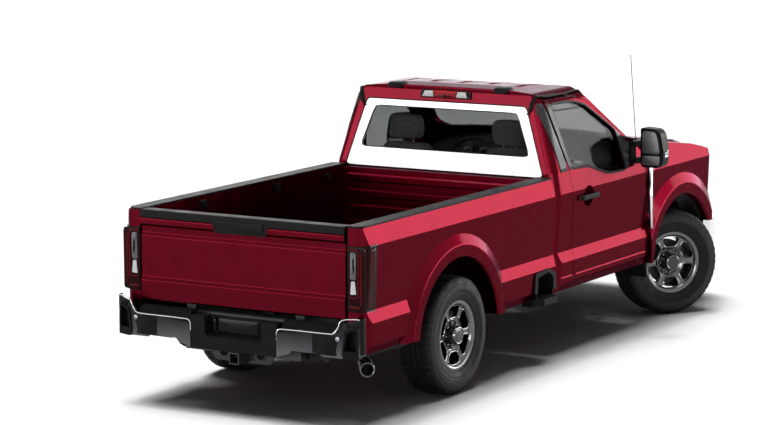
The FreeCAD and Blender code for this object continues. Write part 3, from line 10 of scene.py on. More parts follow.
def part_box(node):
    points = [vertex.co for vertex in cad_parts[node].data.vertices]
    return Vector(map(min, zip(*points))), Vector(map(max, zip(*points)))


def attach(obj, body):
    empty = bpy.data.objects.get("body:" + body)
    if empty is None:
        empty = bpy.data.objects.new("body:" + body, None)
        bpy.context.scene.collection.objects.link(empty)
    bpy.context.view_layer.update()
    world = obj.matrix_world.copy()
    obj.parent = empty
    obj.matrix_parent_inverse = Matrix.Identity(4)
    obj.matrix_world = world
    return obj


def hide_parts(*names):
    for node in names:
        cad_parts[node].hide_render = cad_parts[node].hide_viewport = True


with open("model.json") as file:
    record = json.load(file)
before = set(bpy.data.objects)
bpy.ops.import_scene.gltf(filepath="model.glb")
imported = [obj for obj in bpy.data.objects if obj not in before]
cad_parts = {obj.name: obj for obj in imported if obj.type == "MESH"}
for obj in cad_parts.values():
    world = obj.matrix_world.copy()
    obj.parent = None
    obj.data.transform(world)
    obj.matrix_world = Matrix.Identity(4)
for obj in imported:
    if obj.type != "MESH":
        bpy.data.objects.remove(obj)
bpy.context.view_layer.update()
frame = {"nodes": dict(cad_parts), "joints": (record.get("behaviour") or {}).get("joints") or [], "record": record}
nodes = frame["nodes"]


# Shader building blocks

def principled(name, colour, **sockets):
    """A material with one Principled shader; returns the material and the shader."""
    material = bpy.data.materials.new(name)
    material.use_nodes = True
    shader = material.node_tree.nodes["Principled BSDF"]
    shader.inputs["Base Color"].default_value = (*colour, 1.0)
    for socket, value in sockets.items():
        shader.inputs[socket.replace("_", " ")].default_value = value
    return material, shader


def add_node(owner, kind, **values):
    """One node of a material or a world, its named inputs set."""
    node = owner.node_tree.nodes.new(kind)
    for key, value in values.items():
        node.inputs[key.replace("_", " ")].default_value = value
    return node


def link(owner, source, target):
    """Joins two sockets."""
    owner.node_tree.links.new(source, target)


def place(material):
    """The surface's own place in metres."""
    return add_node(material, "ShaderNodeTexCoord").outputs["Object"]


def noise(material, scale, detail=3.0):
    """A noise over the surface."""
    node = add_node(material, "ShaderNodeTexNoise", Scale=scale, Detail=detail)
    link(material, place(material), node.inputs["Vector"])
    return node.outputs["Fac"]


def ranged(material, value, low, high, start=0.3, end=0.7):
    """Brings a value between start and end into a range."""
    node = add_node(material, "ShaderNodeMapRange", From_Min=start, From_Max=end, To_Min=low, To_Max=high)
    link(material, value, node.inputs["Value"])
    return node.outputs["Result"]


def two_colours(material, shader, value, first, second, start=0.3, end=0.7):
    """Goes from one colour to another as a value goes from start to end."""
    factor = ranged(material, value, 0.0, 1.0, start, end)
    mix = material.node_tree.nodes.new("ShaderNodeMix")
    mix.data_type = "RGBA"
    mix.inputs[6].default_value = (*first, 1.0)
    mix.inputs[7].default_value = (*second, 1.0)
    link(material, factor, mix.inputs[0])
    link(material, mix.outputs[2], shader.inputs["Base Color"])


def relief(material, shader, height, strength, distance):
    """A bump on the surface."""
    bump = add_node(material, "ShaderNodeBump", Strength=strength, Distance=distance)
    link(material, height, bump.inputs["Height"])
    link(material, bump.outputs["Normal"], shader.inputs["Normal"])


def rough(material, shader, value, low, high):
    """An uneven polish between two roughnesses."""
    link(material, ranged(material, value, low, high), shader.inputs["Roughness"])


def shade(colour, gain, lift=0.0):
    """A colour made lighter or darker."""
    return tuple(min(1.0, part * gain + lift) for part in colour)


# Materials

# The paint's two flake colours, and the tint of its shine at the rim of a curve
PAINT_DEEP = (0.055, 0.0006, 0.0042)
PAINT_BRIGHT = (0.088, 0.0010, 0.0066)
PAINT_EDGE = (0.525, 0.455, 0.495, 1.0)


def paint(name, gloss=0.25):
    """Metallic red with fine flakes under a thin clear coat."""
    material, shader = principled(name, PAINT_DEEP, Metallic=1.0, Roughness=gloss, Coat_Weight=0.06,
                                  Coat_Roughness=0.05, Specular_Tint=PAINT_EDGE)
    two_colours(material, shader, noise(material, 900.0, 2.0), PAINT_DEEP, PAINT_BRIGHT)
    rough(material, shader, noise(material, 7.0, 4.0), gloss - 0.03, gloss + 0.04)
    return material


def grained_plastic(name, colour, roughness, grain=1500.0, depth=0.0002, shine=0.05):
    """Moulded plastic with a fine leather-like grain."""
    material, shader = principled(name, colour, Roughness=roughness, Specular_IOR_Level=shine)
    relief(material, shader, noise(material, grain), 0.35, depth)
    broad = noise(material, 9.0, 4.0)
    two_colours(material, shader, broad, colour, shade(colour, 1.25, 0.004))
    rough(material, shader, broad, roughness - 0.06, roughness + 0.07)
    return material


def bare_metal(name, colour, roughness):
    """Metal with a slightly uneven polish."""
    material, shader = principled(name, colour, Metallic=1.0, Roughness=roughness)
    rough(material, shader, noise(material, 60.0, 5.0), max(0.02, roughness - 0.05), roughness + 0.07)
    two_colours(material, shader, noise(material, 4.0), shade(colour, 0.9), colour)
    return material


def height_shaded_metal(name, low_colour, high_colour, roughness, low, high):
    """Satin metal that darkens from its foot to its top edge; this change of tone is painted light, not the
    metal's own colour.
    """
    material, shader = principled(name, low_colour, Metallic=1.0, Roughness=roughness)
    # The colour follows the height: painted light, darker towards the top edge.
    split = add_node(material, "ShaderNodeSeparateXYZ")
    link(material, place(material), split.inputs["Vector"])
    two_colours(material, shader, split.outputs["Z"], low_colour, high_colour, low, high)
    rough(material, shader, noise(material, 8.0), roughness - 0.03, roughness + 0.05)
    return material


def cast_steel(name, colour, roughness):
    """Painted or oxidised steel under the body, a little dusty."""
    material, shader = principled(name, colour, Metallic=0.55, Roughness=roughness)
    pits = noise(material, 240.0, 6.0)
    relief(material, shader, pits, 0.3, 0.0006)
    two_colours(material, shader, noise(material, 5.0, 6.0), colour, shade(colour, 1.7, 0.006))
    rough(material, shader, pits, roughness - 0.08, roughness + 0.1)
    return material


def rubber(name, colour):
    """Tyre rubber with a faint mould texture."""
    material, shader = principled(name, colour, Roughness=0.62, Specular_IOR_Level=0.1)
    broad = noise(material, 16.0, 5.0)
    two_colours(material, shader, broad, colour, shade(colour, 1.35, 0.002))
    relief(material, shader, noise(material, 1300.0, 2.0), 0.25, 0.0002)
    rough(material, shader, broad, 0.52, 0.72)
    return material


def tinted_glass(name, tint, sheen=0.0):
    """Tinted glass in a thin pane, with the faintest waviness."""
    material, shader = principled(name, tint, Roughness=0.0, IOR=1.0, Transmission_Weight=1.0,
                                  Coat_Weight=sheen, Coat_Roughness=0.08)
    relief(material, shader, noise(material, 3.0, 1.0), 0.02, 0.001)
    return material


def lens(name, colour, shine=0.3):
    """A moulded lamp lens with fine optics behind a glossy face."""
    material, shader = principled(name, colour, Roughness=0.16, Coat_Weight=shine * 0.5,
                                  Coat_Roughness=0.03, Specular_IOR_Level=shine)
    optics = add_node(material, "ShaderNodeTexVoronoi", Scale=160.0)
    link(material, place(material), optics.inputs["Vector"])
    relief(material, shader, optics.outputs["Distance"], 0.4, 0.001)
    two_colours(material, shader, optics.outputs["Distance"], shade(colour, 0.45), colour, 0.0, 0.6)
    return material


def cloth(name, colour):
    """Woven seat cloth."""
    material, shader = principled(name, colour, Roughness=0.85, Sheen_Weight=0.05,
                                  Specular_IOR_Level=0.1)
    weave = add_node(material, "ShaderNodeTexWave", Scale=260.0, Distortion=1.2, Detail=2.0)
    link(material, place(material), weave.inputs["Vector"])
    relief(material, shader, weave.outputs["Fac"], 0.4, 0.0006)
    two_colours(material, shader, weave.outputs["Fac"], colour, shade(colour, 1.5, 0.003))
    return material


black_trim = grained_plastic("black trim", (0.006, 0.006, 0.0065), 0.42)
gloss_black = grained_plastic("gloss black", (0.003, 0.003, 0.0035), 0.12, 2400.0, 0.00005, 0.10)
# A lighter rubber for a band on the sidewall: painted highlight, standing in for the light that band catches.
tyre_highlight_band = rubber("tyre painted highlight", (0.030, 0.030, 0.031))
tyre_tread = rubber("tyre tread", (0.006, 0.006, 0.0065))
chrome = bare_metal("wheel chrome", (0.12, 0.12, 0.125), 0.10)
rim_dark = bare_metal("rim dark", (0.055, 0.055, 0.058), 0.22)
bright = bare_metal("bright metal", (0.72, 0.72, 0.74), 0.12)
grille_metal = bare_metal("grille metal", (0.17, 0.17, 0.175), 0.2)
# Painted light on the bumper: its tone runs from light at the foot to dark at the top edge.
bumper_grey = height_shaded_metal("bumper metal", (0.070, 0.071, 0.074), (0.016, 0.016, 0.017), 0.30, 0.47, 0.62)
door_pane = tinted_glass("door pane", (0.37, 0.38, 0.38), 0.08)
border_white = grained_plastic("window border", (0.95, 0.95, 0.95), 0.4, 3000.0, 0.00003, 0.5)
border_white.node_tree.nodes["Principled BSDF"].inputs["Metallic"].default_value = 0.35
seam_black = cloth("seam thread", (0.012, 0.012, 0.012))
pillar_grey = grained_plastic("pillar grey", (0.052, 0.052, 0.053), 0.30, 2200.0, 0.00005, 0.08)
glow_red = lens("glow red", (0.62, 0.004, 0.014), 0.05)
dark_red = lens("dark red", (0.16, 0.0015, 0.007), 0.05)
lamp_shell = grained_plastic("lamp shell", (0.022, 0.0006, 0.0022), 0.15, 2400.0, 0.00005, 0.05)
lamp_black = grained_plastic("lamp black", (0.002, 0.001, 0.0012), 0.15, 2400.0, 0.00005, 0.04)
lamp_white = lens("lamp white", (0.95, 0.95, 0.95))
lamp_grey = lens("lamp grey", (0.16, 0.16, 0.165), 0.15)
mirror_glass = bare_metal("mirror glass", (0.15, 0.15, 0.155), 0.42)
brake_steel = bare_metal("brake steel", (0.22, 0.215, 0.21), 0.35)
sensor_grey = bare_metal("sensor grey", (0.16, 0.16, 0.17), 0.3)

FINISHES = {
    "body_paint": paint("body paint"),
    "bed_paint": paint("bed paint", 0.34),
    "black_plastic": black_trim,
    "step_plastic": grained_plastic("step black", (0.0045, 0.0045, 0.005), 0.55, 900.0, 0.0004),
    "tyre_rubber": rubber("tyre rubber", (0.009, 0.009, 0.0095)),
    "wheel_chrome": chrome,
    "bright_metal": bright,
    "bumper_metal": bumper_grey,
    "axle_steel": cast_steel("axle steel", (0.010, 0.010, 0.011), 0.5),
    "frame_steel": cast_steel("frame steel", (0.012, 0.012, 0.013), 0.45),
    "pipe_steel": bare_metal("pipe steel", (0.075, 0.074, 0.073), 0.30),
    "tank_plastic": grained_plastic("tank plastic", (0.014, 0.014, 0.015), 0.5, 600.0, 0.0005),
    "window_glass": tinted_glass("side glass", (0.38, 0.39, 0.39)),
    "window_border": border_white,
    "lamp_lens": lens("red lens", (0.026, 0.0006, 0.0018), 0.06),
    "headlamp_lens": lens("clear lens", (0.20, 0.205, 0.21), 0.35),
    "seat_fabric": cloth("seat cloth", (0.085, 0.085, 0.082)),
    "cabin_plastic": grained_plastic("cabin plastic", (0.013, 0.013, 0.0138), 0.6, 1500.0, 0.0002, 0.04),
}


def dress(node, material):
    """Gives a node its finish."""
    mesh = nodes[node].data
    mesh.materials.clear()
    mesh.materials.append(material)


def dress_all():
    """Every node takes the finish of its slot."""
    for part in frame["record"]["subparts"]:
        dress(part["node"], FINISHES[part["material_slot"]])


# Shape building blocks, with every length in millimetres

PLANES = {"xy": (0, 1, 2), "xz": (0, 2, 1), "yz": (1, 2, 0)}
SIDES = (("left", 1), ("right", -1))
BESIDE = 1500.0
BEHIND_CAB = -700.0


def metres(point):
    """A point given in millimetres, in metres."""
    return Vector(point) * 0.001


def around(count):
    """The cosine and sine of evenly spaced turns."""
    turns = [2 * math.pi * step / count for step in range(count)]
    return [(math.cos(turn), math.sin(turn)) for turn in turns]


def grown(outline, centre, by):
    """The points of an outline moved outward from a centre."""
    for corner in outline:
        flat = Vector(corner) - centre
        yield centre + flat * (1 + by / flat.length)


def absorb(bm, part):
    """Adds one bmesh to another."""
    temp = bpy.data.meshes.new("temp")
    part.to_mesh(temp)
    part.free()
    bm.from_mesh(temp)
    bpy.data.meshes.remove(temp)


def softened_path(points, radius, steps=4):
    """A closed path in space whose corners are rounded by a radius."""
    result = []
    count = len(points)
    for i in range(count):
        here = Vector(points[i])
        before = Vector(points[i - 1]) - here
        after = Vector(points[(i + 1) % count]) - here
        reach = min(radius, before.length * 0.45, after.length * 0.45)
        start = here + before.normalized() * reach
        end = here + after.normalized() * reach
        for step in range(steps + 1):
            t = step / steps
            result.append(start * (1 - t) ** 2 + here * 2 * t * (1 - t) + end * t ** 2)
    return result


def softened(outline, radius, steps=4):
    """A flat outline whose corners are rounded by a radius."""
    return [(point.x, point.y) for point in softened_path(outline, radius, steps)]


def loft(bm, rings, closed=True):
    """Faces from each ring of vertices to the next, closed round the rings where asked."""
    count = len(rings[0])
    for one, two in zip(rings, rings[1:]):
        for i in range(count if closed else count - 1):
            j = (i + 1) % count
            bm.faces.new((one[i], one[j], two[j], two[i]))


def level_ring(bm, outline, plane, level):
    """The vertices of a flat outline at a level of its plane."""
    first, second, third = PLANES[plane]
    ring = []
    for a, b in outline:
        point = [0.0, 0.0, 0.0]
        point[first], point[second], point[third] = a, b, level
        ring.append(bm.verts.new(metres(point)))
    return ring


def slab(bm, outline, plane, low, high, bevel=0.0, rounds=2):
    """An outline made solid from low to high, its edges softened."""
    part = bmesh.new()
    rings = [level_ring(part, outline, plane, level) for level in (low, high)]
    part.faces.new(rings[0])
    part.faces.new(rings[1][::-1])
    loft(part, rings)
    bmesh.ops.recalc_face_normals(part, faces=part.faces)
    if bevel:
        bmesh.ops.bevel(part, geom=part.edges[:], offset=bevel * 0.001, segments=rounds,
                        profile=0.6, affect="EDGES", clamp_overlap=True)
    absorb(bm, part)


def plate(bm, corners, soft, plane, low, high, bevel, rounds=2):
    """A slab whose outline has softened corners."""
    slab(bm, softened(corners, soft), plane, low, high, bevel, rounds)


def on_side(side, outline):
    """An outline of (y, z) pairs on one side of the truck."""
    return [(side * y, other) for y, other in outline]


def oblong(low, high, bottom, top):
    """The corners of a rectangle."""
    return [(low, bottom), (high, bottom), (high, top), (low, top)]


def box_slab(bm, x, y, z, bevel=1.0, rounds=2):
    """A softened block between pairs of limits."""
    slab(bm, oblong(*x, *y), "xy", *z, bevel, rounds)


def tube(bm, points, radius, sides=10, closed=False, flat=1.0, up=(0, 0, 1)):
    """A round or flattened rod along points; up is where its flat side faces."""
    points = [Vector(p) for p in points]
    count = len(points)
    rings = []
    for i, point in enumerate(points):
        before = points[i - 1] if (closed or i > 0) else point
        after = points[(i + 1) % count] if (closed or i < count - 1) else point
        along = (after - before).normalized()
        side = along.cross(Vector(up))
        side = side.normalized() if side.length > 1e-6 else Vector((1, 0, 0))
        top = side.cross(along).normalized()
        rings.append([bm.verts.new(metres(point + (side * c * radius + top * s * radius * flat)))
                      for c, s in around(sides)])
    loft(bm, rings + rings[:1] if closed else rings)
    if not closed:
        bm.faces.new(rings[0][::-1])
        bm.faces.new(rings[-1])


def lathe(bm, profile, centre, axis, sides=64):
    """Revolves (along, radius) pairs about an axis; the last pair may lie on the axis."""
    axis = Vector(axis).normalized()
    helper = Vector((0, 0, 1)) if abs(axis.z) < 0.9 else Vector((1, 0, 0))
    first = axis.cross(helper).normalized()
    second = axis.cross(first)
    rings = []
    for along, radius in profile:
        spot = Vector(centre) + axis * along
        turns = around(sides) if radius else [(0.0, 0.0)]
        rings.append([bm.verts.new(metres(spot + (first * c * radius + second * s * radius)))
                      for c, s in turns])
    tip = rings.pop() if len(rings[-1]) == 1 else None
    loft(bm, rings)
    if tip:
        for step in range(sides):
            bm.faces.new((rings[-1][step], rings[-1][(step + 1) % sides], tip[0]))


def dome(bm, outline, plane, levels):
    """A closed form that steps inward: levels are (height, inset) pairs from its foot up."""
    middle = Vector((sum(a for a, _ in outline), sum(b for _, b in outline))) / len(outline)
    rings = []
    for height, inset in levels:
        shrunk = []
        for corner in outline:
            flat = Vector(corner) - middle
            shrunk.append(middle + flat * max(0.05, 1 - inset / flat.length))
        rings.append(level_ring(bm, shrunk, plane, height))
    loft(bm, rings)
    bm.faces.new(rings[0])
    bm.faces.new(rings[-1][::-1])


def add_object(name, data):
    """A new object in the scene."""
    item = bpy.data.objects.new(name, data)
    bpy.context.scene.collection.objects.link(item)
    return item


def piece(name, bm, body, slot, material=None, sharp=38.0):
    """Turns a bmesh into a named piece that rides on a body, in its slot's own finish or another."""
    bmesh.ops.recalc_face_normals(bm, faces=bm.faces)
    mesh = bpy.data.meshes.new(name)
    bm.to_mesh(mesh)
    bm.free()
    mesh.materials.append(material or FINISHES[slot])
    mesh.shade_smooth()
    mesh.set_sharp_from_angle(angle=math.radians(sharp))
    item = add_object(name, mesh)
    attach(item, body)
    return item


def skin_of(*names):
    """The named nodes' faces, to find points on their surface."""
    points = []
    faces = []
    for name in names:
        mesh = nodes[name].data
        base = len(points)
        points.extend(v.co.copy() for v in mesh.vertices)
        faces.extend([base + i for i in p.vertices] for p in mesh.polygons)
    return BVHTree.FromPolygons(points, faces)


def ray_point(skin, start, direction, lift):
    """The first point of a surface along a ray, lifted off it."""
    place, normal, _, _ = skin.ray_cast(metres(start), Vector(direction).normalized())
    if place is None:
        return None
    return place * 1000 + normal * lift


def side_point(skin, side, x, z, lift):
    """The point of a side surface at x and z, lifted off it."""
    return ray_point(skin, (x, side * BESIDE, z), (0, -side, 0), lift)


def rear_point(skin, y, z, lift):
    """The point of a surface at y and z, seen from the bed."""
    return ray_point(skin, (BEHIND_CAB, y, z), (1, 0, 0), lift)


def found(spots):
    """The points that lie on the surface."""
    return [spot for spot in spots if spot is not None]


def sheet(bm, corners, across, along, find):
    """A sheet laid on a surface between four flat corners; find gives a surface point or None."""
    a, b, c, d = [Vector(corner) for corner in corners]
    rows = []
    for i in range(along + 1):
        v = i / along
        row = []
        for j in range(across + 1):
            u = j / across
            flat = (a * (1 - u) + b * u) * (1 - v) + (d * (1 - u) + c * u) * v
            spot = find(flat.x, flat.y)
            row.append(bm.verts.new(metres(spot)) if spot is not None else None)
        rows.append(row)
    for one, two in zip(rows, rows[1:]):
        for j in range(across):
            quad = (one[j], one[j + 1], two[j + 1], two[j])
            if all(quad):
                bm.faces.new(quad)


def side_patch(bm, skin, side, corners, lift=1.6, across=10, along=16):
    """A sheet laid on a side surface between four (x, z) corners."""
    sheet(bm, corners, across, along, lambda x, z: side_point(skin, side, x, z, lift))


def side_board(bm, skin, side, corners):
    """A flat board between four (x, z, lift) corners, at the height of the side surface beside them."""
    verts = []
    for x, z, lift in corners:
        spots = found(side_point(skin, side, x + shift, z, lift) for shift in (0, 8, 16, 24, -8, -16))
        verts.append(bm.verts.new(metres((x, spots[0].y, z))))
    bm.faces.new(verts)


def thicken(item, depth):
    """Gives a sheet its thickness."""
    modifier = item.modifiers.new("depth", "SOLIDIFY")
    modifier.thickness = depth * 0.001
    modifier.offset = 0.0
    modifier.use_even_offset = True


# Wheels and tyres

WHEELS = ("rear_left", "rear_right", "front_left", "front_right")
TREAD_STEPS = 288
HUB = (0, 0, 0)
OUTWARD = (0, 1, 0)
AXLE_HEIGHT = 421.0
FRONT_ARCH_X = 1994.0
REAR_ARCH_X = -1631.0


def wheel_frames():
    """Each wheel's centre in millimetres and its outward axis."""
    frames = {}
    for joint in frame["joints"]:
        corner = joint["name"].removeprefix("roll_")
        if corner in WHEELS:
            axis = Vector(joint["axis"]).normalized()
            if (axis.y > 0) == corner.endswith("right"):
                axis = -axis
            low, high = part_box("tyre_" + corner)
            frames[corner] = ((low + high) * 500.0, axis)
    return frames


def tyre_profile():
    """The tyre's section as (along the axle, radius, kind of surface)."""
    side = [
        (104.0, 230.0, ""), (107.5, 240.0, ""), (111.0, 247.5, ""), (116.0, 252.0, ""), (118.0, 259.0, ""),
        (121.5, 262.0, ""), (124.0, 272.0, ""), (129.0, 284.0, ""), (132.0, 296.0, ""), (130.0, 300.0, ""),
        (133.0, 304.0, ""), (136.4, 320.0, ""), (137.4, 331.0, ""), (136.8, 344.0, ""), (135.2, 356.0, ""),
        (134.0, 361.0, ""), (130.4, 364.0, ""), (129.8, 372.0, "rib"), (126.8, 382.0, "rib"),
        (123.6, 391.0, "rib"), (120.2, 399.0, "rib"), (116.0, 406.0, "lug"), (110.0, 411.5, "lug"),
        (102.0, 415.5, "lug"), (90.0, 418.0, "lug"), (70.0, 419.4, "lug"), (64.0, 419.6, "lug"),
        (62.5, 412.0, ""), (56.5, 412.0, ""), (55.0, 420.0, "sipe"), (40.0, 420.4, "sipe"),
        (26.0, 420.7, "sipe"), (24.5, 412.0, ""), (17.5, 412.0, ""), (16.0, 421.0, "sipe"),
        (0.0, 421.0, "sipe"),
    ]
    left = [(-along, radius, kind) for along, radius, kind in side[:-1]]
    return left + side[::-1]


def tyre_band(first, second):
    """Which rubber a strip of the section has: plain, a lighter band of painted highlight on the sidewall, or
    tread.
    """
    radius = (first[1] + second[1]) / 2
    width = (abs(first[0]) + abs(second[0])) / 2
    if width < 118.0 and radius > 400.0:
        return 2
    # Strips between these radii take the lighter rubber as a painted highlight band.
    return 1 if 333.0 < radius < 384.0 else 0


def tyre_mesh():
    """A tyre about its own Y axis, with ribs, lugs and sipes cut in the tread."""
    bm = bmesh.new()
    profile = tyre_profile()
    rings = []
    for step, (c, s) in enumerate(around(TREAD_STEPS)):
        ring = []
        for along, radius, kind in profile:
            depth = 0.0
            if kind == "rib":
                depth = 4.0 if step % 3 == 0 else 0.0
            elif kind == "lug":
                depth = 5.5 if (step + (2 if along < 0 else 0)) % 6 == 0 else 0.0
            elif kind == "sipe":
                shift = int(abs(along) // 20)
                depth = 3.6 if (step + shift) % 4 == 0 else 0.0
            r = (radius - depth) * 0.001
            ring.append(bm.verts.new((r * c, along * 0.001, r * s)))
        rings.append(ring)
    count = len(profile)
    bands = [tyre_band(profile[i], profile[(i + 1) % count]) for i in range(count)]
    for one, two in zip(rings, rings[1:] + rings[:1]):
        for i in range(count):
            j = (i + 1) % count
            bm.faces.new((one[i], one[j], two[j], two[i])).material_index = bands[i]
    return bm


def stand(item_bm, centre, axis):
    """Moves a wheel made about Y to its place and outward direction."""
    up = Vector((0, 0, 1))
    ahead = axis.cross(up).normalized()
    turn = Matrix((ahead, axis, up)).transposed().to_4x4()
    item_bm.transform(Matrix.Translation(centre * 0.001) @ turn)


def face_height(radius):
    """How far out the rim's face stands at a radius."""
    if radius < 134.0:
        return 56.0 + (radius - 96.0) * 26.0 / 38.0
    return 82.0 + (radius - 134.0) * 8.0 / 76.0


def build_tyres():
    """A treaded tyre in place of each plain one."""
    for corner, (centre, axis) in wheel_frames().items():
        bm = tyre_mesh()
        stand(bm, centre, axis)
        tyre = piece("road_tyre_" + corner, bm, "wheel_" + corner, "tyre_rubber", sharp=28.0)
        # The second rubber is the sidewall's painted highlight band.
        tyre.data.materials.append(tyre_highlight_band)
        tyre.data.materials.append(tyre_tread)
        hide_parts("tyre_" + corner)


def window_ring(turn, grow):
    """A rim window's outline, grown outward, as points about the axle."""
    outline = [(-40, 126), (40, 126), (56, 140), (75, 180), (68, 197), (42, 207),
               (-42, 207), (-68, 197), (-75, 180), (-56, 140)]
    points = []
    for flat in grown(softened(outline, 16.0, 3), Vector((0.0, 168.0)), grow):
        radius = flat.length
        spin = math.atan2(flat.y, flat.x) + turn
        points.append((radius * math.cos(spin), face_height(min(radius, 212.0)), radius * math.sin(spin)))
    return points


def build_wheel_details():
    """Raised edges round the rim windows, hub rings, lugs, the blank cap and the brake's face."""
    for corner, (centre, axis) in wheel_frames().items():
        bm = bmesh.new()
        for window in range(6):
            turn = math.pi * window / 3
            tube(bm, window_ring(turn, 7.0), 5.5, 8, True, 0.9, OUTWARD)
        lathe(bm, [(60, 101), (66, 103), (68, 107), (66, 111), (60, 113)], HUB, OUTWARD, 72)
        rim_edge = [(96, 213), (104, 218), (110, 224), (114.4, 232), (115, 240), (113, 246)]
        lathe(bm, rim_edge, HUB, OUTWARD, 96)
        lathe(bm, [(122, 50), (131, 52), (132.6, 56), (131, 60), (124, 64), (112, 67)], HUB, OUTWARD, 64)
        for lug in range(8):
            turn = 2 * math.pi * lug / 8 + math.pi / 2
            spot = (85 * math.cos(turn), 0, 85 * math.sin(turn))
            lathe(bm, [(56, 19), (60, 18.5), (62, 16)], spot, OUTWARD, 20)
            lathe(bm, [(71, 10.5), (78, 9.5), (81, 6.5), (82, 0)], spot, OUTWARD, 16)
        stand(bm, centre, axis)
        piece("rim_edges_" + corner, bm, "wheel_" + corner, "wheel_chrome")
        dark = bmesh.new()
        lathe(dark, [(129, 50), (131, 46), (131.6, 20), (131.8, 0)], HUB, OUTWARD, 48)
        lathe(dark, [(57.2, 67), (58.2, 70), (58.4, 96), (58, 100)], HUB, OUTWARD, 64)
        stand(dark, centre, axis)
        piece("hub_face_" + corner, dark, "wheel_" + corner, "wheel_chrome", rim_dark)
        disc = bmesh.new()
        lathe(disc, [(-34, 92), (-34, 168), (-30, 172), (-16, 172), (-12, 168), (-12, 92)],
              HUB, OUTWARD, 72)
        for groove in range(36):
            turn = 2 * math.pi * groove / 36
            spots = [(r * math.cos(turn + r * 0.0012), -11.0, r * math.sin(turn + r * 0.0012))
                     for r in (104, 118, 132, 146, 158)]
            tube(disc, spots, 1.8, 6, False, 0.6, OUTWARD)
        stand(disc, centre, axis)
        piece("brake_face_" + corner, disc, "wheel_" + corner, "wheel_chrome", brake_steel)


# Cab trim

DOOR_REAR = 123.0
DOOR_FRONT = 1398.0
GRIP_HEIGHT = 1158.0
GRIP_OUTLINE = ((98, 986), (118, 1017.5), (378, 1017.5), (400, 986), (360, 981), (345, 998),
                (150, 998), (138, 981))
MIRROR_REAR = 1125.0
CAB_REAR_LIMIT = 120.0


def build_roof_trim():
    """Black strips from the rear window's corners along the roof, and two low pods."""
    skin = skin_of("cab_shell")
    bm = bmesh.new()
    for _, side in SIDES:
        path = []
        for step in range(13):
            turn = math.pi / 2 * step / 12
            centre = Vector((120, side * (706 + 64 * math.sin(turn)), 1780))
            out = Vector((-math.cos(turn), 0, math.sin(turn)))
            path.append(ray_point(skin, centre + out * 500, -out, 2.0))
        for x in range(160, 760, 40):
            path.append(ray_point(skin, (x, side * (770 - max(0, x - 420) * 0.04), 2300), (0, 0, -1), 2.0))
        tube(bm, found(path), 21.0, 10, False, 0.3, (-0.5, 0, 0.85))
    piece("roof_side_strips", bm, "truck", "black_plastic")
    bm = bmesh.new()
    for y in (452, -468):
        outline = softened([(-84, y - 56), (-84, y + 56), (-24, y + 68), (44, y + 58), (58, y + 30),
                            (58, y - 30), (44, y - 58), (-24, y - 68)], 20.0)
        dome(bm, outline, "xy", [(1955, 0), (1976, 1), (1986, 7), (1992, 18), (1994, 36)])
    piece("roof_pods", bm, "truck", "black_plastic", sharp=50.0)


def window_path(side, skin, grow):
    """The door window's edge on the door skin, moved outward a little."""
    outline = [(168, 1391), (426, 1389), (540, 1352), (727, 1299), (1017, 1285), (978, 1592),
               (603, 1812), (420, 1858), (81, 1870)]
    flats = grown(softened(outline, 46.0, 4), Vector((520.0, 1570.0)), grow)
    return found(side_point(skin, side, flat.x, flat.y, 1.2) for flat in flats)


def build_door_trim():
    """Seals round the side windows, pillar covers and door grips."""
    for name, side in SIDES:
        skin = skin_of("door_" + name)
        body = "side_door_" + name
        bm = bmesh.new()
        tube(bm, window_path(side, skin, 9.0), 10.0, 8, True, 0.34, (0, side, 0.25))
        piece("window_seal_" + name, bm, body, "black_plastic")
        bm = bmesh.new()
        side_patch(bm, skin, side, [(-14, 1888), (84, 1874), (170, 1388), (126, 1377)], 2.4)
        side_patch(bm, skin, side, [(978, 1600), (1040, 1560), (1130, 1300), (1010, 1282)], 2.4, 8, 12)
        thicken(piece("pillar_cover_" + name, bm, body, "black_plastic", pillar_grey), 3.0)
        bm = bmesh.new()
        shell = skin_of("cab_shell")
        side_patch(bm, shell, side, [(-80, 1888), (-28, 1888), (112, 1377), (-22, 1378)], 2.4)
        thicken(piece("pillar_rear_cover_" + name, bm, "truck", "black_plastic", pillar_grey), 3.0)
        bm = bmesh.new()
        outline = [(DOOR_REAR + ahead, side * y) for ahead, y in GRIP_OUTLINE]
        plate(bm, outline, 12.0, "xy", GRIP_HEIGHT - 18, GRIP_HEIGHT + 18, 5.0, 3)
        piece("door_grip_" + name, bm, body, "black_plastic")


def build_drip_rails():
    """Dark grooves over the doors that lead water off the roof."""
    skin = skin_of("cab_shell")
    for name, side in SIDES:
        bm = bmesh.new()
        rail = ((-88, 1935), (60, 1938), (220, 1934), (340, 1922), (500, 1888), (700, 1780),
                (900, 1664), (1100, 1548))
        path = found(side_point(skin, side, x, z, 1.0) for x, z in rail)
        tube(bm, path, 5.0, 8, False, 0.5, (0, side, 0.3))
        piece("drip_rail_" + name, bm, "truck", "black_plastic")


def rear_loop(skin, corners, lift):
    """A closed path on the cab's rear face through (y, z) corners."""
    path = []
    for i, (y, z) in enumerate(corners):
        after = corners[(i + 1) % len(corners)]
        for step in range(4):
            t = step / 4
            path.append(rear_point(skin, y + (after[0] - y) * t, z + (after[1] - z) * t, lift))
    return found(path)


def build_rear_window_trim():
    """Thin seals round the rear window's border and round its glass."""
    skin = skin_of("rear_window_frame", "cab_glass", "cab_shell")
    border = [(861, 1342), (690, 1864), (-690, 1864), (-861, 1342)]
    border = softened([(y * 1.003, z) for y, z in border], 34.0, 5)
    glass = softened([(735, 1493), (617, 1810), (-617, 1810), (-735, 1493)], 40.0, 5)
    for name, corners, lift, radius in (("rear_window_seal", border, 0.6, 5.0),
                                        ("rear_glass_seal", glass, 0.4, 4.0)):
        bm = bmesh.new()
        path = [spot for spot in rear_loop(skin, corners, lift) if spot.x < CAB_REAR_LIMIT]
        tube(bm, path, radius, 8, True, 0.5, (-1, 0, 0.15))
        piece(name, bm, "truck", "black_plastic")


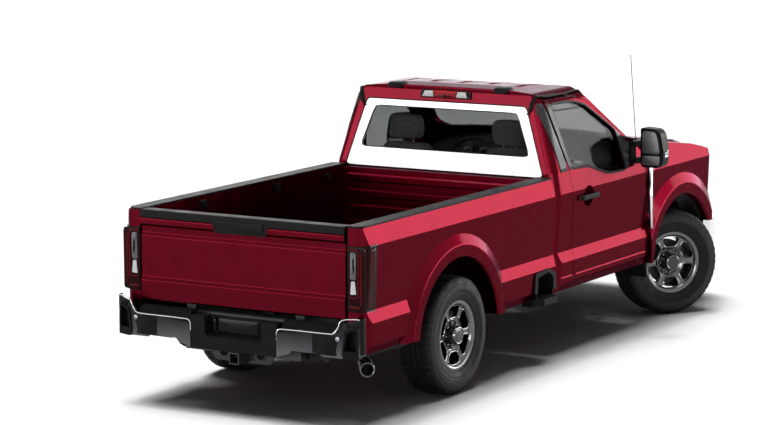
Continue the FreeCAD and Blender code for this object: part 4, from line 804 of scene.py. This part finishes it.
def build_high_lamp():
    """The lamp over the rear window: dark housing, clear ends and a red middle with an eye."""
    shell = skin_of("cab_shell", "rear_lamps")

    def lamp_sheet(name, corners, lift, material, slot, depth):
        bm = bmesh.new()
        sheet(bm, corners, 14, 6, lambda y, z: rear_point(shell, y, z, lift))
        thicken(piece(name, bm, "truck", slot, material), depth)

    lamp_sheet("high_lamp_housing", [(226, 1888), (-226, 1888), (-190, 1950), (190, 1950)], 3.0,
               gloss_black, "black_plastic", 3.0)
    lamp_sheet("high_lamp_red", [(92, 1894), (-92, 1894), (-104, 1945), (104, 1945)], 7.0,
               glow_red, "lamp_lens", 4.0)
    bm = bmesh.new()
    spot = rear_point(shell, 0, 1903, 7.0)
    lathe(bm, [(0, 17), (3, 16), (4, 11), (3, 8), (2, 0)], spot, (-1, 0, 0.2), 24)
    for side in (1, -1):
        tube(bm, [spot + Vector((-2, side * 62, 6)), spot + Vector((-2, side * 22, 0))], 4.0, 6, False, 0.7,
             (-1, 0, 0))
    piece("high_lamp_eye", bm, "truck", "black_plastic", lamp_black)
    for name, side in SIDES:
        lamp_sheet("high_lamp_clear_" + name,
                   [(side * 196, 1898), (side * 98, 1898), (side * 108, 1941), (side * 176, 1941)], 7.0,
                   lamp_white, "lamp_lens", 4.0)


def build_mirror_details():
    """Two panes and a frame on each mirror, a side marker and the arms' collars."""
    for name, side in SIDES:
        body = "side_mirror_" + name
        rear = MIRROR_REAR
        bm = bmesh.new()
        outline = on_side(side, [(1058, 1298), (1226, 1298), (1236, 1418), (1206, 1584), (1056, 1590)])
        plate(bm, outline, 34.0, "yz", rear - 7, rear + 4, 3.0)
        piece("mirror_bezel_" + name, bm, body, "black_plastic")
        bm = bmesh.new()
        top = on_side(side, [(1068, 1400), (1216, 1402), (1204, 1500), (1180, 1572), (1068, 1576)])
        bottom = on_side(side, [(1068, 1312), (1212, 1312), (1218, 1386), (1068, 1384)])
        plate(bm, top, 26.0, "yz", rear - 10, rear - 6, 1.0)
        plate(bm, bottom, 16.0, "yz", rear - 10, rear - 6, 1.0)
        piece("mirror_panes_" + name, bm, body, "bright_metal", mirror_glass)
        bm = bmesh.new()
        outer = [(rear + 30, 1398), (rear + 98, 1402), (rear + 94, 1424), (rear + 30, 1420)]
        plate(bm, outer, 8.0, "xz", side * 1239, side * 1245.5, 2.0)
        lower = [(rear + 34, 1372), (rear + 92, 1376), (rear + 90, 1390), (rear + 34, 1386)]
        plate(bm, lower, 6.0, "xz", side * 1237, side * 1244.5, 2.0)
        piece("mirror_marker_" + name, bm, body, "bright_metal")
        bm = bmesh.new()
        for z in (1481, 1349):
            for y in (1022, 1040, 1054):
                ring = [(rear - 96, z - 22), (rear - 96, z + 22), (rear - 2, z + 22), (rear - 2, z - 22)]
                plate(bm, ring, 8.0, "xz", side * (y - 3), side * (y + 3), 1.5)
        piece("mirror_collars_" + name, bm, body, "black_plastic")


def build_fender_vents():
    """A bright strip and a black mesh behind each front wheel."""
    skin = skin_of("front_fenders")
    for name, side in SIDES:
        bm = bmesh.new()
        side_board(bm, skin, side, [(1404, 1262, 20), (1436, 1258, 20), (1421, 770, 6), (1402, 770, 6)])
        thicken(piece("vent_strip_" + name, bm, "truck", "bright_metal"), 22.0)
        bm = bmesh.new()
        side_patch(bm, skin, side, [(1436, 1258), (1500, 1236), (1440, 880), (1418, 880)], 2.5, 6, 24)
        thicken(piece("vent_panel_" + name, bm, "truck", "black_plastic", gloss_black), 3.0)
        bm = bmesh.new()
        for step in range(6):
            t = step / 8
            top = 1222 - 58 * step
            left, right = 1446 - 32 * t, 1488 - 48 * t
            cell = [(left, top), (right, top - 8), (right - 6, top - 40), (left + 2, top - 32)]
            path = found(side_point(skin, side, x, z, 5.5) for x, z in softened(cell, 9.0, 3))
            if len(path) > 6:
                tube(bm, path, 2.6, 6, True, 1.0, (0, side, 0))
        piece("vent_cells_" + name, bm, "truck", "black_plastic")


def crease_strip(bm, skin, side, start, end, height, drop, proud):
    """A low ledge along a side surface that leans outward toward its foot."""
    rows = []
    count = 24
    for i in range(count + 1):
        x = start + (end - start) * i / count
        top = side_point(skin, side, x, height, 0.4)
        foot = side_point(skin, side, x, height - drop, 0.4)
        if top is None or foot is None:
            continue
        lip = foot + Vector((0, side * proud, 0))
        rows.append([bm.verts.new(metres(p)) for p in (top, lip, foot)])
    loft(bm, rows)
    bm.faces.new(rows[0])
    bm.faces.new(rows[-1][::-1])


def build_creases():
    """Thin painted ledges along the sills, and the plastic edges behind the rear wheels."""
    for name, side in SIDES:
        bm = bmesh.new()
        crease_strip(bm, skin_of("door_" + name), side, DOOR_REAR - 6, DOOR_FRONT - 50, 600, 11, 3.2)
        piece("door_crease_" + name, bm, "side_door_" + name, "body_paint", sharp=20.0)
        bm = bmesh.new()
        crease_strip(bm, skin_of("cab_shell"), side, -118, DOOR_REAR - 20, 600, 11, 3.2)
        piece("sill_crease_" + name, bm, "truck", "body_paint", sharp=20.0)
        bm = bmesh.new()
        outline = [(-2834, 500), (-2180, 500), (-2190, 470), (-2330, 462), (-2560, 474), (-2820, 478)]
        plate(bm, outline, 10.0, "xz", side * 905, side * 948, 6.0)
        piece("rear_valance_" + name, bm, "truck", "step_plastic")


# Rear lamps, tailgate and bumper

LAMP_REAR = -2852.0


def lamp_pane(outline, side, proud, soft):
    """A softened pane standing a little proud of a corner lamp's rear face."""
    bm = bmesh.new()
    levels = [(LAMP_REAR + 6, 0), (LAMP_REAR - proud * 0.6, 0), (LAMP_REAR - proud, 2.5)]
    dome(bm, on_side(side, softened(outline, soft)), "yz", levels)
    return bm


# Each pane's outline in (y, z), how proud it stands and how soft its corners are
LAMP_PANES = (
    ("lamp_base_", [(846, 1218), (978, 1218), (985, 1190), (985, 800), (970, 786), (846, 786)],
     1.2, 14.0, lamp_shell, "black_plastic"),
    ("lamp_column_", [(870, 1186), (906, 1186), (914, 1168), (911, 1000), (866, 1000)],
     4.0, 8.0, lamp_grey, "lamp_lens"),
    ("lamp_column_eye_", [(884, 1130), (898, 1150), (903, 1070), (896, 1030), (887, 1058)],
     5.0, 8.0, lamp_black, "black_plastic"),
    ("reverse_pane_", [(876, 990), (904, 990), (914, 902), (868, 898)],
     5.0, 8.0, lamp_white, "lamp_lens"),
)
# Each guide's (y, z) line, how proud it stands, its radius and how flat it is
LAMP_GUIDES = (
    ([(858, 1200), (922, 1200), (934, 1176), (930, 884), (914, 876), (862, 880)], 3, 5.0, 0.8),
    ([(950, 1180), (950, 830)], 2, 6.0, 0.6),
    ([(856, 812), (940, 812)], 2, 9.0, 0.5),
)


def build_tail_lamps():
    """Each corner lamp: black base, clear column, reverse light, red guides and side ribs."""
    skin = skin_of("rear_lamps")
    for name, side in SIDES:
        for pane, outline, proud, soft, material, slot in LAMP_PANES:
            piece(pane + name, lamp_pane(outline, side, proud, soft), "truck", slot, material)
        bm = bmesh.new()
        for line, proud, radius, flat in LAMP_GUIDES:
            path = [(LAMP_REAR - proud, side * y, z) for y, z in line]
            tube(bm, path, radius, 8, False, flat, (-1, 0, 0))
        piece("lamp_guides_" + name, bm, "truck", "lamp_lens", dark_red)
        bm = bmesh.new()
        corners = [(-2846, 1206), (-2728, 1206), (-2728, 800), (-2846, 800)]
        side_patch(bm, skin, side, corners, 1.2, 8, 20)
        thicken(piece("lamp_side_base_" + name, bm, "truck", "black_plastic", lamp_shell), 1.5)
        bm = bmesh.new()
        for step in range(24):
            z = 1176 - step * 15
            path = found(side_point(skin, side, -2806 + i * 9, z - abs(i - 2) * 4, 3.0) for i in range(5))
            if len(path) > 2:
                tube(bm, path, 2.6, 6, False, 0.6, (0, side, 0))
        path = found(side_point(skin, side, -2752, z, 2.5) for z in range(1186, 930, -20))
        tube(bm, path, 4.0, 6, False, 0.6, (0, side, 0))
        piece("lamp_side_ribs_" + name, bm, "truck", "lamp_lens", dark_red)


BUMPER_LINE = ((352, 560), (352, 612), (362, 630), (382, 638), (520, 640), (700, 640), (790, 641),
               (815, 654), (838, 690), (852, 724), (868, 740), (900, 748), (960, 750), (984, 748))


def build_bumper_details():
    """Bright edge lines, end covers, sensors, ribs on the pads and the blank plate."""
    skin = skin_of("rear_bumper")
    bm = bmesh.new()
    for _, side in SIDES:
        path = [(-2963 + max(0, y - 860) * 0.30, side * y, z + 2) for y, z in BUMPER_LINE]
        tube(bm, path, 4.0, 8, False, 1.0, (-1, 0, 0))
    piece("bumper_bright_line", bm, "truck", "bright_metal")
    for name, side in SIDES:
        bm = bmesh.new()
        side_patch(bm, skin, side, [(-2962, 748), (-2874, 748), (-2874, 450), (-2962, 450)], 1.5, 8, 20)
        thicken(piece("bumper_end_cover_" + name, bm, "truck", "black_plastic"), 2.0)
    bm = bmesh.new()
    for _, side in SIDES:
        spot = ray_point(skin, (-3200, side * 823, 608), (1, 0, 0), 0.5)
        lathe(bm, [(0, 17), (2, 16), (3, 13), (3.4, 0)], spot, (-1, 0, 0.05), 28)
    piece("bumper_sensors", bm, "truck", "bumper_metal", sensor_grey)
    bm = bmesh.new()
    pads = skin_of("step_pads", "rear_bumper")
    for _, side in SIDES:
        for x in range(-2952, -2872, 9):
            spots = found(ray_point(pads, (x, side * y, 900), (0, 0, -1), 0.6) for y in range(372, 800, 20))
            path = [spot for spot in spots if spot.z > 600]
            if len(path) > 2:
                tube(bm, path, 2.2, 6, False, 0.9, (0, 0, 1))
    piece("pad_ribs", bm, "truck", "step_plastic")
    bm = bmesh.new()
    plate(bm, oblong(-160, 160, 552, 652), 14.0, "yz", -2899, -2890, 2.0)
    plate(bm, oblong(178, 214, 566, 648), 14.0, "yz", -2906, -2890, 4.0)
    for y in (-120, 120):
        lathe(bm, [(0, 9), (5, 8), (6, 0)], (-2899, y, 566), (-1, 0, 0), 16)
    piece("plate_panel", bm, "truck", "black_plastic", gloss_black)
    bm = bmesh.new()
    plate(bm, oblong(-168, 168, 544, 660), 18.0, "yz", -2894, -2889, 1.0)
    for y in (-190, 196):
        plate(bm, oblong(y - 16, y + 16, 650, 664), 4.0, "yz", -2912, -2890, 2.0)
    piece("plate_surround", bm, "truck", "step_plastic")


HITCH_PLATE_X = -2840.0


def oval(y, z, across, up, steps=20):
    """An oval outline about a point."""
    return [(y + across * c, z + up * s) for c, s in around(steps)]


def build_hitch_details():
    """The hitch's chain plate with its two eyes, black ovals of painted shade in their openings, and the hangers
    beside it.
    """
    bm = bmesh.new()
    for side in (1, -1):
        outline = on_side(side, [(36, 512), (250, 512), (262, 420), (226, 356), (36, 350)])
        plate(bm, outline, 18.0, "yz", HITCH_PLATE_X - 10, HITCH_PLATE_X, 2.0)
        for radius in (1.0, 0.8):
            path = [(HITCH_PLATE_X - 12, y, z) for y, z in oval(side * 150, 408, 48 * radius, 32 * radius)]
            tube(bm, path, 5.0, 8, True, 1.0, (-1, 0, 0))
    for side in (1, -1):
        for y in (500, 580):
            hanger = [(-2790, 545), (-2620, 545), (-2640, 400), (-2700, 378), (-2776, 420)]
            plate(bm, hanger, 16.0, "xz", side * y - 5, side * y + 5, 2.0)
    piece("hitch_plate", bm, "truck", "frame_steel")
    # Black ovals in the eyes: painted shade standing in for the openings and the dark behind them.
    bm = bmesh.new()
    for side in (1, -1):
        slab(bm, oval(side * 150, 408, 42, 26), "yz", HITCH_PLATE_X - 12.5, HITCH_PLATE_X - 9)
        slab(bm, oval(side * 96, 470, 9, 9, 12), "yz", HITCH_PLATE_X - 12.5, HITCH_PLATE_X - 9)
    piece("hitch_eye_shade", bm, "truck", "black_plastic", lamp_black)


TIP_END = (-2748.0, -931.0, 377.5)
TIP_WAY = (-0.807, -0.589, -0.047)


def build_exhaust_tip():
    """A rolled lip and the dark bore at the tail pipe's end."""
    bm = bmesh.new()
    lathe(bm, [(-14, 50.4), (-6, 51.6), (0, 51.8), (2.5, 50), (3, 46.5), (1, 43.5), (-6, 41.8)],
          TIP_END, TIP_WAY, 48)
    piece("exhaust_lip", bm, "truck", "pipe_steel", chrome)
    bm = bmesh.new()
    lathe(bm, [(-5, 41.6), (-106, 41.6), (-107, 0)], TIP_END, TIP_WAY, 40)
    piece("exhaust_bore", bm, "truck", "black_plastic", lamp_black)


def build_tailgate_details():
    """The lip over the tailgate's handle recess."""
    bm = bmesh.new()
    plate(bm, [(196, 1318), (-196, 1318), (-176, 1240), (176, 1240)], 18.0, "yz", -2875, -2868, 2.0)
    piece("gate_handle_lip", bm, "lid_tailgate", "black_plastic")


# Bed

def build_bed_details():
    """Black tie-down plates and their rings on the bed's sides."""
    bm = bmesh.new()
    for _, side in SIDES:
        for x in (-420, -1120, -2080, -2640):
            plate(bm, oblong(x - 45, x + 45, 1250, 1316), 10.0, "xz", side * 838, side * 847, 2.0)
            path = softened_path([(x - 24, side * 834, 1300), (x + 24, side * 834, 1300),
                                  (x + 18, side * 826, 1268), (x - 18, side * 826, 1268)], 12.0)
            tube(bm, path, 4.0, 8, True, 1.0, (0, 1, 0))
    piece("bed_tie_plates", bm, "truck", "black_plastic")


# Wheel openings

def arch_sheet(name, centre_x, rows, start, sweep, steps, slot):
    """A thin sheet over both wheels of an axle; rows are (y, radius), the angles are in degrees."""
    bm = bmesh.new()
    for _, side in SIDES:
        rings = []
        for y, radius in rows:
            ring = []
            for step in range(steps + 1):
                turn = math.radians(start + sweep * step / steps)
                spot = (centre_x + radius * math.cos(turn), side * y, AXLE_HEIGHT + radius * math.sin(turn))
                ring.append(bm.verts.new(metres(spot)))
            rings.append(ring)
        loft(bm, rings, False)
    thicken(piece(name, bm, "truck", slot), 2.0)


def build_arch_liners():
    """Dark liners inside the front arches and painted wheel houses over the rear wheels."""
    arch_sheet("front_arch_liners", FRONT_ARCH_X, [(y, 545) for y in (786, 850, 920, 950)],
               math.degrees(-0.094), 180.0 * 1.06, 24, "step_plastic")
    arch_sheet("rear_wheel_houses", REAR_ARCH_X, [(854, 572), (890, 586), (940, 598), (980, 604)],
               38.0, 104.0, 20, "body_paint")


# Cabin

SEAT_X = 60.0
SEAT_Y = 450.0
CUSHION_POWER = 0.42
CONSOLE_OUTLINE = ((130, 700), (640, 700), (660, 1010), (600, 1050), (160, 1050))

# Rings of the padded forms from the foot up: ahead of SEAT_X, height, half length, half width, lean
SEAT_BASE = ((430, 800, 330, 205, 0.02), (430, 860, 348, 214, 0.03), (432, 920, 352, 217, 0.05),
             (430, 955, 344, 212, 0.06), (430, 974, 326, 200, 0.06), (430, 978, 270, 170, 0.06),
             (430, 970, 120, 90, 0.06))
SEAT_BACK = ((130, 950, 96, 196, 0), (130, 1010, 112, 210, 0), (118, 1120, 110, 217, 0),
             (100, 1260, 92, 217, 0), (82, 1380, 76, 216, 0), (70, 1460, 64, 210, 0),
             (62, 1500, 52, 192, 0), (60, 1514, 30, 150, 0))
HEAD_REST = ((58, 1538, 26, 104, 0), (57, 1552, 42, 130, 0), (55, 1620, 50, 142, 0),
             (53, 1690, 48, 138, 0), (52, 1722, 38, 122, 0), (52, 1732, 20, 90, 0))


def cushion(levels, middle, rounds):
    """A padded form from stacked rings about a seat's middle line."""
    bm = bmesh.new()
    rings = []
    for ahead, height, half_x, half_y, lean in levels:
        centre = Vector((SEAT_X + ahead, middle, height))
        ring = []
        for c, s in around(rounds):
            x = math.copysign(abs(c) ** CUSHION_POWER, c) * half_x
            y = math.copysign(abs(s) ** CUSHION_POWER, s) * half_y
            ring.append(bm.verts.new(metres(centre + Vector((x, y, x * lean)))))
        rings.append(ring)
    loft(bm, rings)
    bm.faces.new(rings[0][::-1])
    bm.faces.new(rings[-1])
    return bm


def padded_piece(name, levels, middle, rounds=48):
    """A padded piece from stacked rings, smoothed."""
    item = piece(name, cushion(levels, middle, rounds), "truck", "seat_fabric", sharp=60.0)
    smooth = item.modifiers.new("round", "SUBSURF")
    smooth.levels = 1
    smooth.render_levels = 1
    return item


def build_seats():
    """Two padded seats with sewn seams, headrests on posts and a console between them."""
    for side_name, side in SIDES:
        y = side * SEAT_Y
        padded_piece("seat_base_" + side_name, SEAT_BASE, y)
        padded_piece("seat_back_" + side_name, SEAT_BACK, y)
        padded_piece("head_rest_" + side_name, HEAD_REST, y, 40)
        bm = bmesh.new()
        for offset in (-54, 54):
            tube(bm, [(SEAT_X + 56, y + offset, 1490), (SEAT_X + 56, y + offset, 1560)], 7.0, 10)
        piece("head_posts_" + side_name, bm, "truck", "bright_metal")
        bm = bmesh.new()
        for row in range(5):
            x = SEAT_X + 190 + row * 110
            low, high = 981 + row * 6, 986 + row * 6
            tube(bm, [(x, y - 150, low), (x, y, high), (x, y + 150, low)], 3.0, 6)
        for height in (1080, 1200, 1320, 1440):
            front = SEAT_X + 240 - (height - 1000) * 0.22
            tube(bm, [(front, y - 140, height), (front + 3, y, height), (front, y + 140, height)], 3.0, 6)
        piece("seat_seams_" + side_name, bm, "truck", "seat_fabric", seam_black)
        bm = bmesh.new()
        box_slab(bm, (SEAT_X + 110, SEAT_X + 720), (y - 200, y + 200), (692, 800), 14.0, 3)
        piece("seat_stand_" + side_name, bm, "truck", "cabin_plastic")
    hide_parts("seats")
    bm = bmesh.new()
    outline = [(SEAT_X + ahead, z) for ahead, z in CONSOLE_OUTLINE]
    plate(bm, outline, 40.0, "xz", -190, 190, 16.0, 3)
    piece("middle_console", bm, "truck", "cabin_plastic")


def build_dashboard_details():
    """Gauge hood, dials, vents, screen and glovebox lid on the dashboard."""
    bm = bmesh.new()
    hood = [(1290, 1428), (1130, 1402), (1086, 1372), (1110, 1340), (1290, 1360)]
    plate(bm, hood, 26.0, "xz", 190, 580, 14.0, 3)
    piece("gauge_hood", bm, "truck", "cabin_plastic")
    bm = bmesh.new()
    for y in (310, 460):
        lathe(bm, [(0, 52), (-6, 54), (-8, 50), (-6, 46)], (1098, y, 1318), (1, 0, 0.25), 32)
    for y in (-560, -30, 60, 640):
        vent = [(y - 52, 1262), (y + 52, 1262), (y + 48, 1318), (y - 48, 1318)]
        plate(bm, vent, 12.0, "yz", 1040, 1056, 3.0)
    piece("dash_rings", bm, "truck", "bright_metal")
    bm = bmesh.new()
    plate(bm, oblong(-150, 150, 1150, 1300), 14.0, "yz", 1022, 1060, 4.0)
    plate(bm, oblong(-720, -330, 1080, 1230), 16.0, "yz", 1030, 1060, 4.0)
    piece("dash_screen", bm, "truck", "cabin_plastic", gloss_black)
    bm = bmesh.new()
    for y in (310, 460):
        for mark in range(11):
            turn = math.radians(210 - mark * 24)
            ends = [(1088, y + math.cos(turn) * reach, 1318 + math.sin(turn) * reach) for reach in (38, 46)]
            tube(bm, ends, 1.6, 6)
    piece("dial_marks", bm, "truck", "cabin_plastic", lamp_white)


def build_steering_details():
    """Hub pad and its blank ring on the steering wheel."""
    low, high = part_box("steering_wheel")
    centre = (low + high) * 500.0
    axis = Vector((-math.cos(math.radians(24)), 0, math.sin(math.radians(24))))
    bm = bmesh.new()
    lathe(bm, [(-20, 70), (16, 78), (30, 70), (38, 50), (41, 0)], centre, axis, 40)
    piece("wheel_pad", bm, "steering", "cabin_plastic")
    bm = bmesh.new()
    lathe(bm, [(36.5, 30), (39, 34), (41.5, 30)], centre + axis, axis, 32)
    piece("wheel_badge_ring", bm, "steering", "bright_metal")


# Nose

def build_front_details():
    """Lamp reflectors and light bars, bumper trim and the grille's mesh."""
    for name, side in SIDES:
        bm = bmesh.new()
        for z in (1164, 1052):
            lathe(bm, [(0, 44), (8, 42), (12, 34), (10, 26), (4, 0)], (2864, side * 726, z), (1, 0, 0), 36)
        piece("lamp_reflectors_" + name, bm, "truck", "headlamp_lens", bright)
        bm = bmesh.new()
        plate(bm, on_side(side, oblong(650, 666, 966, 1248)), 6.0, "yz", 2862, 2890, 3.0)
        piece("lamp_light_bar_" + name, bm, "truck", "headlamp_lens", lamp_white)
    bm = bmesh.new()
    for _, side in SIDES:
        path = [(2962, y, z) for y, z in softened(on_side(side, oblong(548, 597, 545, 588)), 12.0)]
        tube(bm, path, 5.0, 8, True, 1.0, (1, 0, 0))
        lathe(bm, [(0, 44), (6, 42), (8, 30), (4, 0)], (2860, side * 740, 586), (1, 0, 0), 28)
    piece("bumper_front_trim", bm, "truck", "bright_metal")
    bm = bmesh.new()
    for y in range(-480, 481, 60):
        for z in range(800, 1130, 55):
            if abs(z - 922) > 34 and abs(z - 1066) > 34:
                x = 2858 - abs(y) * 0.02
                cell = softened(oblong(y - 26, y + 26, z - 20, z + 20), 10.0, 2)
                tube(bm, [(x, *spot) for spot in cell], 3.0, 6, True, 1.0, (1, 0, 0))
    piece("grille_mesh", bm, "truck", "black_plastic")


def build_wipers():
    """Wiper blades at the windshield's foot."""
    glass = skin_of("cab_glass")
    bm = bmesh.new()
    for y in (80, 640):
        path = found(ray_point(glass, (1500 - t * 60, y - 40 - t * 560, 2600), (0, 0, -1), 9.0)
                     for t in [step / 12 for step in range(13)])
        if len(path) > 2:
            tube(bm, path, 6.0, 8, False, 1.3, (0, 0, 1))
    piece("wiper_blades", bm, "truck", "black_plastic")


# Stage, light and camera

FLOOR_HALF = 160.0
CAMERA_PLACE = (-18.767873, -10.765607, 4.276138)
CAMERA_RIGHT = (0.51699912, -0.85596339, -0.00621115)
CAMERA_UP = (0.13090379, 0.07189052, 0.98878509)
CAMERA_FORWARD = (0.84591732, 0.51201408, -0.14921618)
CAMERA_LENS = 134.60
WHITE = (1.0, 1.0, 1.0, 1.0)
SURROUND_LIGHT = 0.06
SUN_TILT = (-9.0, 5.0, 0.0)
SUNS = (("overhead soft", 2.9, 42.0), ("overhead firm", 0.75, 9.0))
# Panels that only show as reflections: place, width, height and power
PANELS = (
    ("panel ahead right", (34.0, -21.0, 6.4), 46.0, 11.0, 14500.0),
    ("panel ahead left", (34.0, 21.0, 6.4), 46.0, 11.0, 2465.0),
    ("panel behind left", (-34.0, 21.0, 6.4), 46.0, 11.0, 10150.0),
    ("fill", (-27.0, -16.5, 6.5), 26.0, 9.0, 5600.0),
)


def build_stage():
    """A wide white floor."""
    mesh = bpy.data.meshes.new("floor")
    far = FLOOR_HALF
    mesh.from_pydata([(-far, -far, 0), (far, -far, 0), (far, far, 0), (-far, far, 0)], [],
                     [(0, 1, 2, 3)])
    material, _ = principled("floor white", (0.97, 0.97, 0.97), Roughness=0.9, Specular_IOR_Level=0.0)
    mesh.materials.append(material)
    add_object("floor", mesh)


def build_light():
    """A surround that looks white but gives little light, and two suns."""
    world = bpy.context.scene.world or bpy.data.worlds.new("world")
    bpy.context.scene.world = world
    world.use_nodes = True
    world.node_tree.nodes.clear()
    output = add_node(world, "ShaderNodeOutputWorld")
    seen = add_node(world, "ShaderNodeBackground", Color=WHITE, Strength=1.0)
    given = add_node(world, "ShaderNodeBackground", Color=WHITE, Strength=SURROUND_LIGHT)
    path = add_node(world, "ShaderNodeLightPath")
    white = path.outputs["Is Camera Ray"]
    for kind in ("Is Glossy Ray", "Is Transmission Ray"):
        either = add_node(world, "ShaderNodeMath")
        either.operation = "MAXIMUM"
        link(world, white, either.inputs[0])
        link(world, path.outputs[kind], either.inputs[1])
        white = either.outputs[0]
    mix = add_node(world, "ShaderNodeMixShader")
    link(world, white, mix.inputs[0])
    link(world, given.outputs[0], mix.inputs[1])
    link(world, seen.outputs[0], mix.inputs[2])
    link(world, mix.outputs[0], output.inputs["Surface"])
    for name, strength, angle in SUNS:
        light = bpy.data.lights.new(name, "SUN")
        light.energy = strength
        light.angle = math.radians(angle)
        holder = add_object(name, light)
        holder.location = (0.0, 0.0, 12.0)
        holder.rotation_euler = [math.radians(tilt) for tilt in SUN_TILT]


def build_panels():
    """Long low panels and a weaker one, for the shine in the paint and bright metal."""
    for name, place_at, width, height, power in PANELS:
        light = bpy.data.lights.new(name, "AREA")
        light.shape = "RECTANGLE"
        light.size = width
        light.size_y = height
        light.energy = power
        holder = add_object(name, light)
        holder.location = place_at
        aim = Vector((0.0, 0.0, 1.0)) - Vector(place_at)
        holder.rotation_euler = aim.to_track_quat("-Z", "Y").to_euler()
        holder.visible_diffuse = False
        holder.visible_camera = False


def build_camera():
    """The camera behind the truck on its right."""
    data = bpy.data.cameras.new("camera")
    data.sensor_fit = "HORIZONTAL"
    data.sensor_width = 36.0
    data.lens = CAMERA_LENS
    data.clip_end = 500.0
    camera = add_object("camera", data)
    turn = Matrix((CAMERA_RIGHT, CAMERA_UP, -Vector(CAMERA_FORWARD))).transposed().to_4x4()
    camera.matrix_world = Matrix.Translation(CAMERA_PLACE) @ turn
    bpy.context.scene.camera = camera


bpy.context.scene.view_settings.view_transform = "Standard"
dress_all()
dress("grille", grille_metal)
dress("antenna", black_trim)
dress("door_glass_left", door_pane)
dress("door_glass_right", door_pane)
for build in (build_stage, build_light, build_panels, build_camera, build_tyres, build_wheel_details,
              build_roof_trim, build_door_trim, build_drip_rails, build_rear_window_trim,
              build_high_lamp, build_mirror_details, build_fender_vents, build_tail_lamps,
              build_bumper_details, build_hitch_details, build_exhaust_tip, build_tailgate_details,
              build_bed_details, build_arch_liners, build_creases, build_seats,
              build_dashboard_details, build_steering_details, build_front_details, build_wipers):
    build()
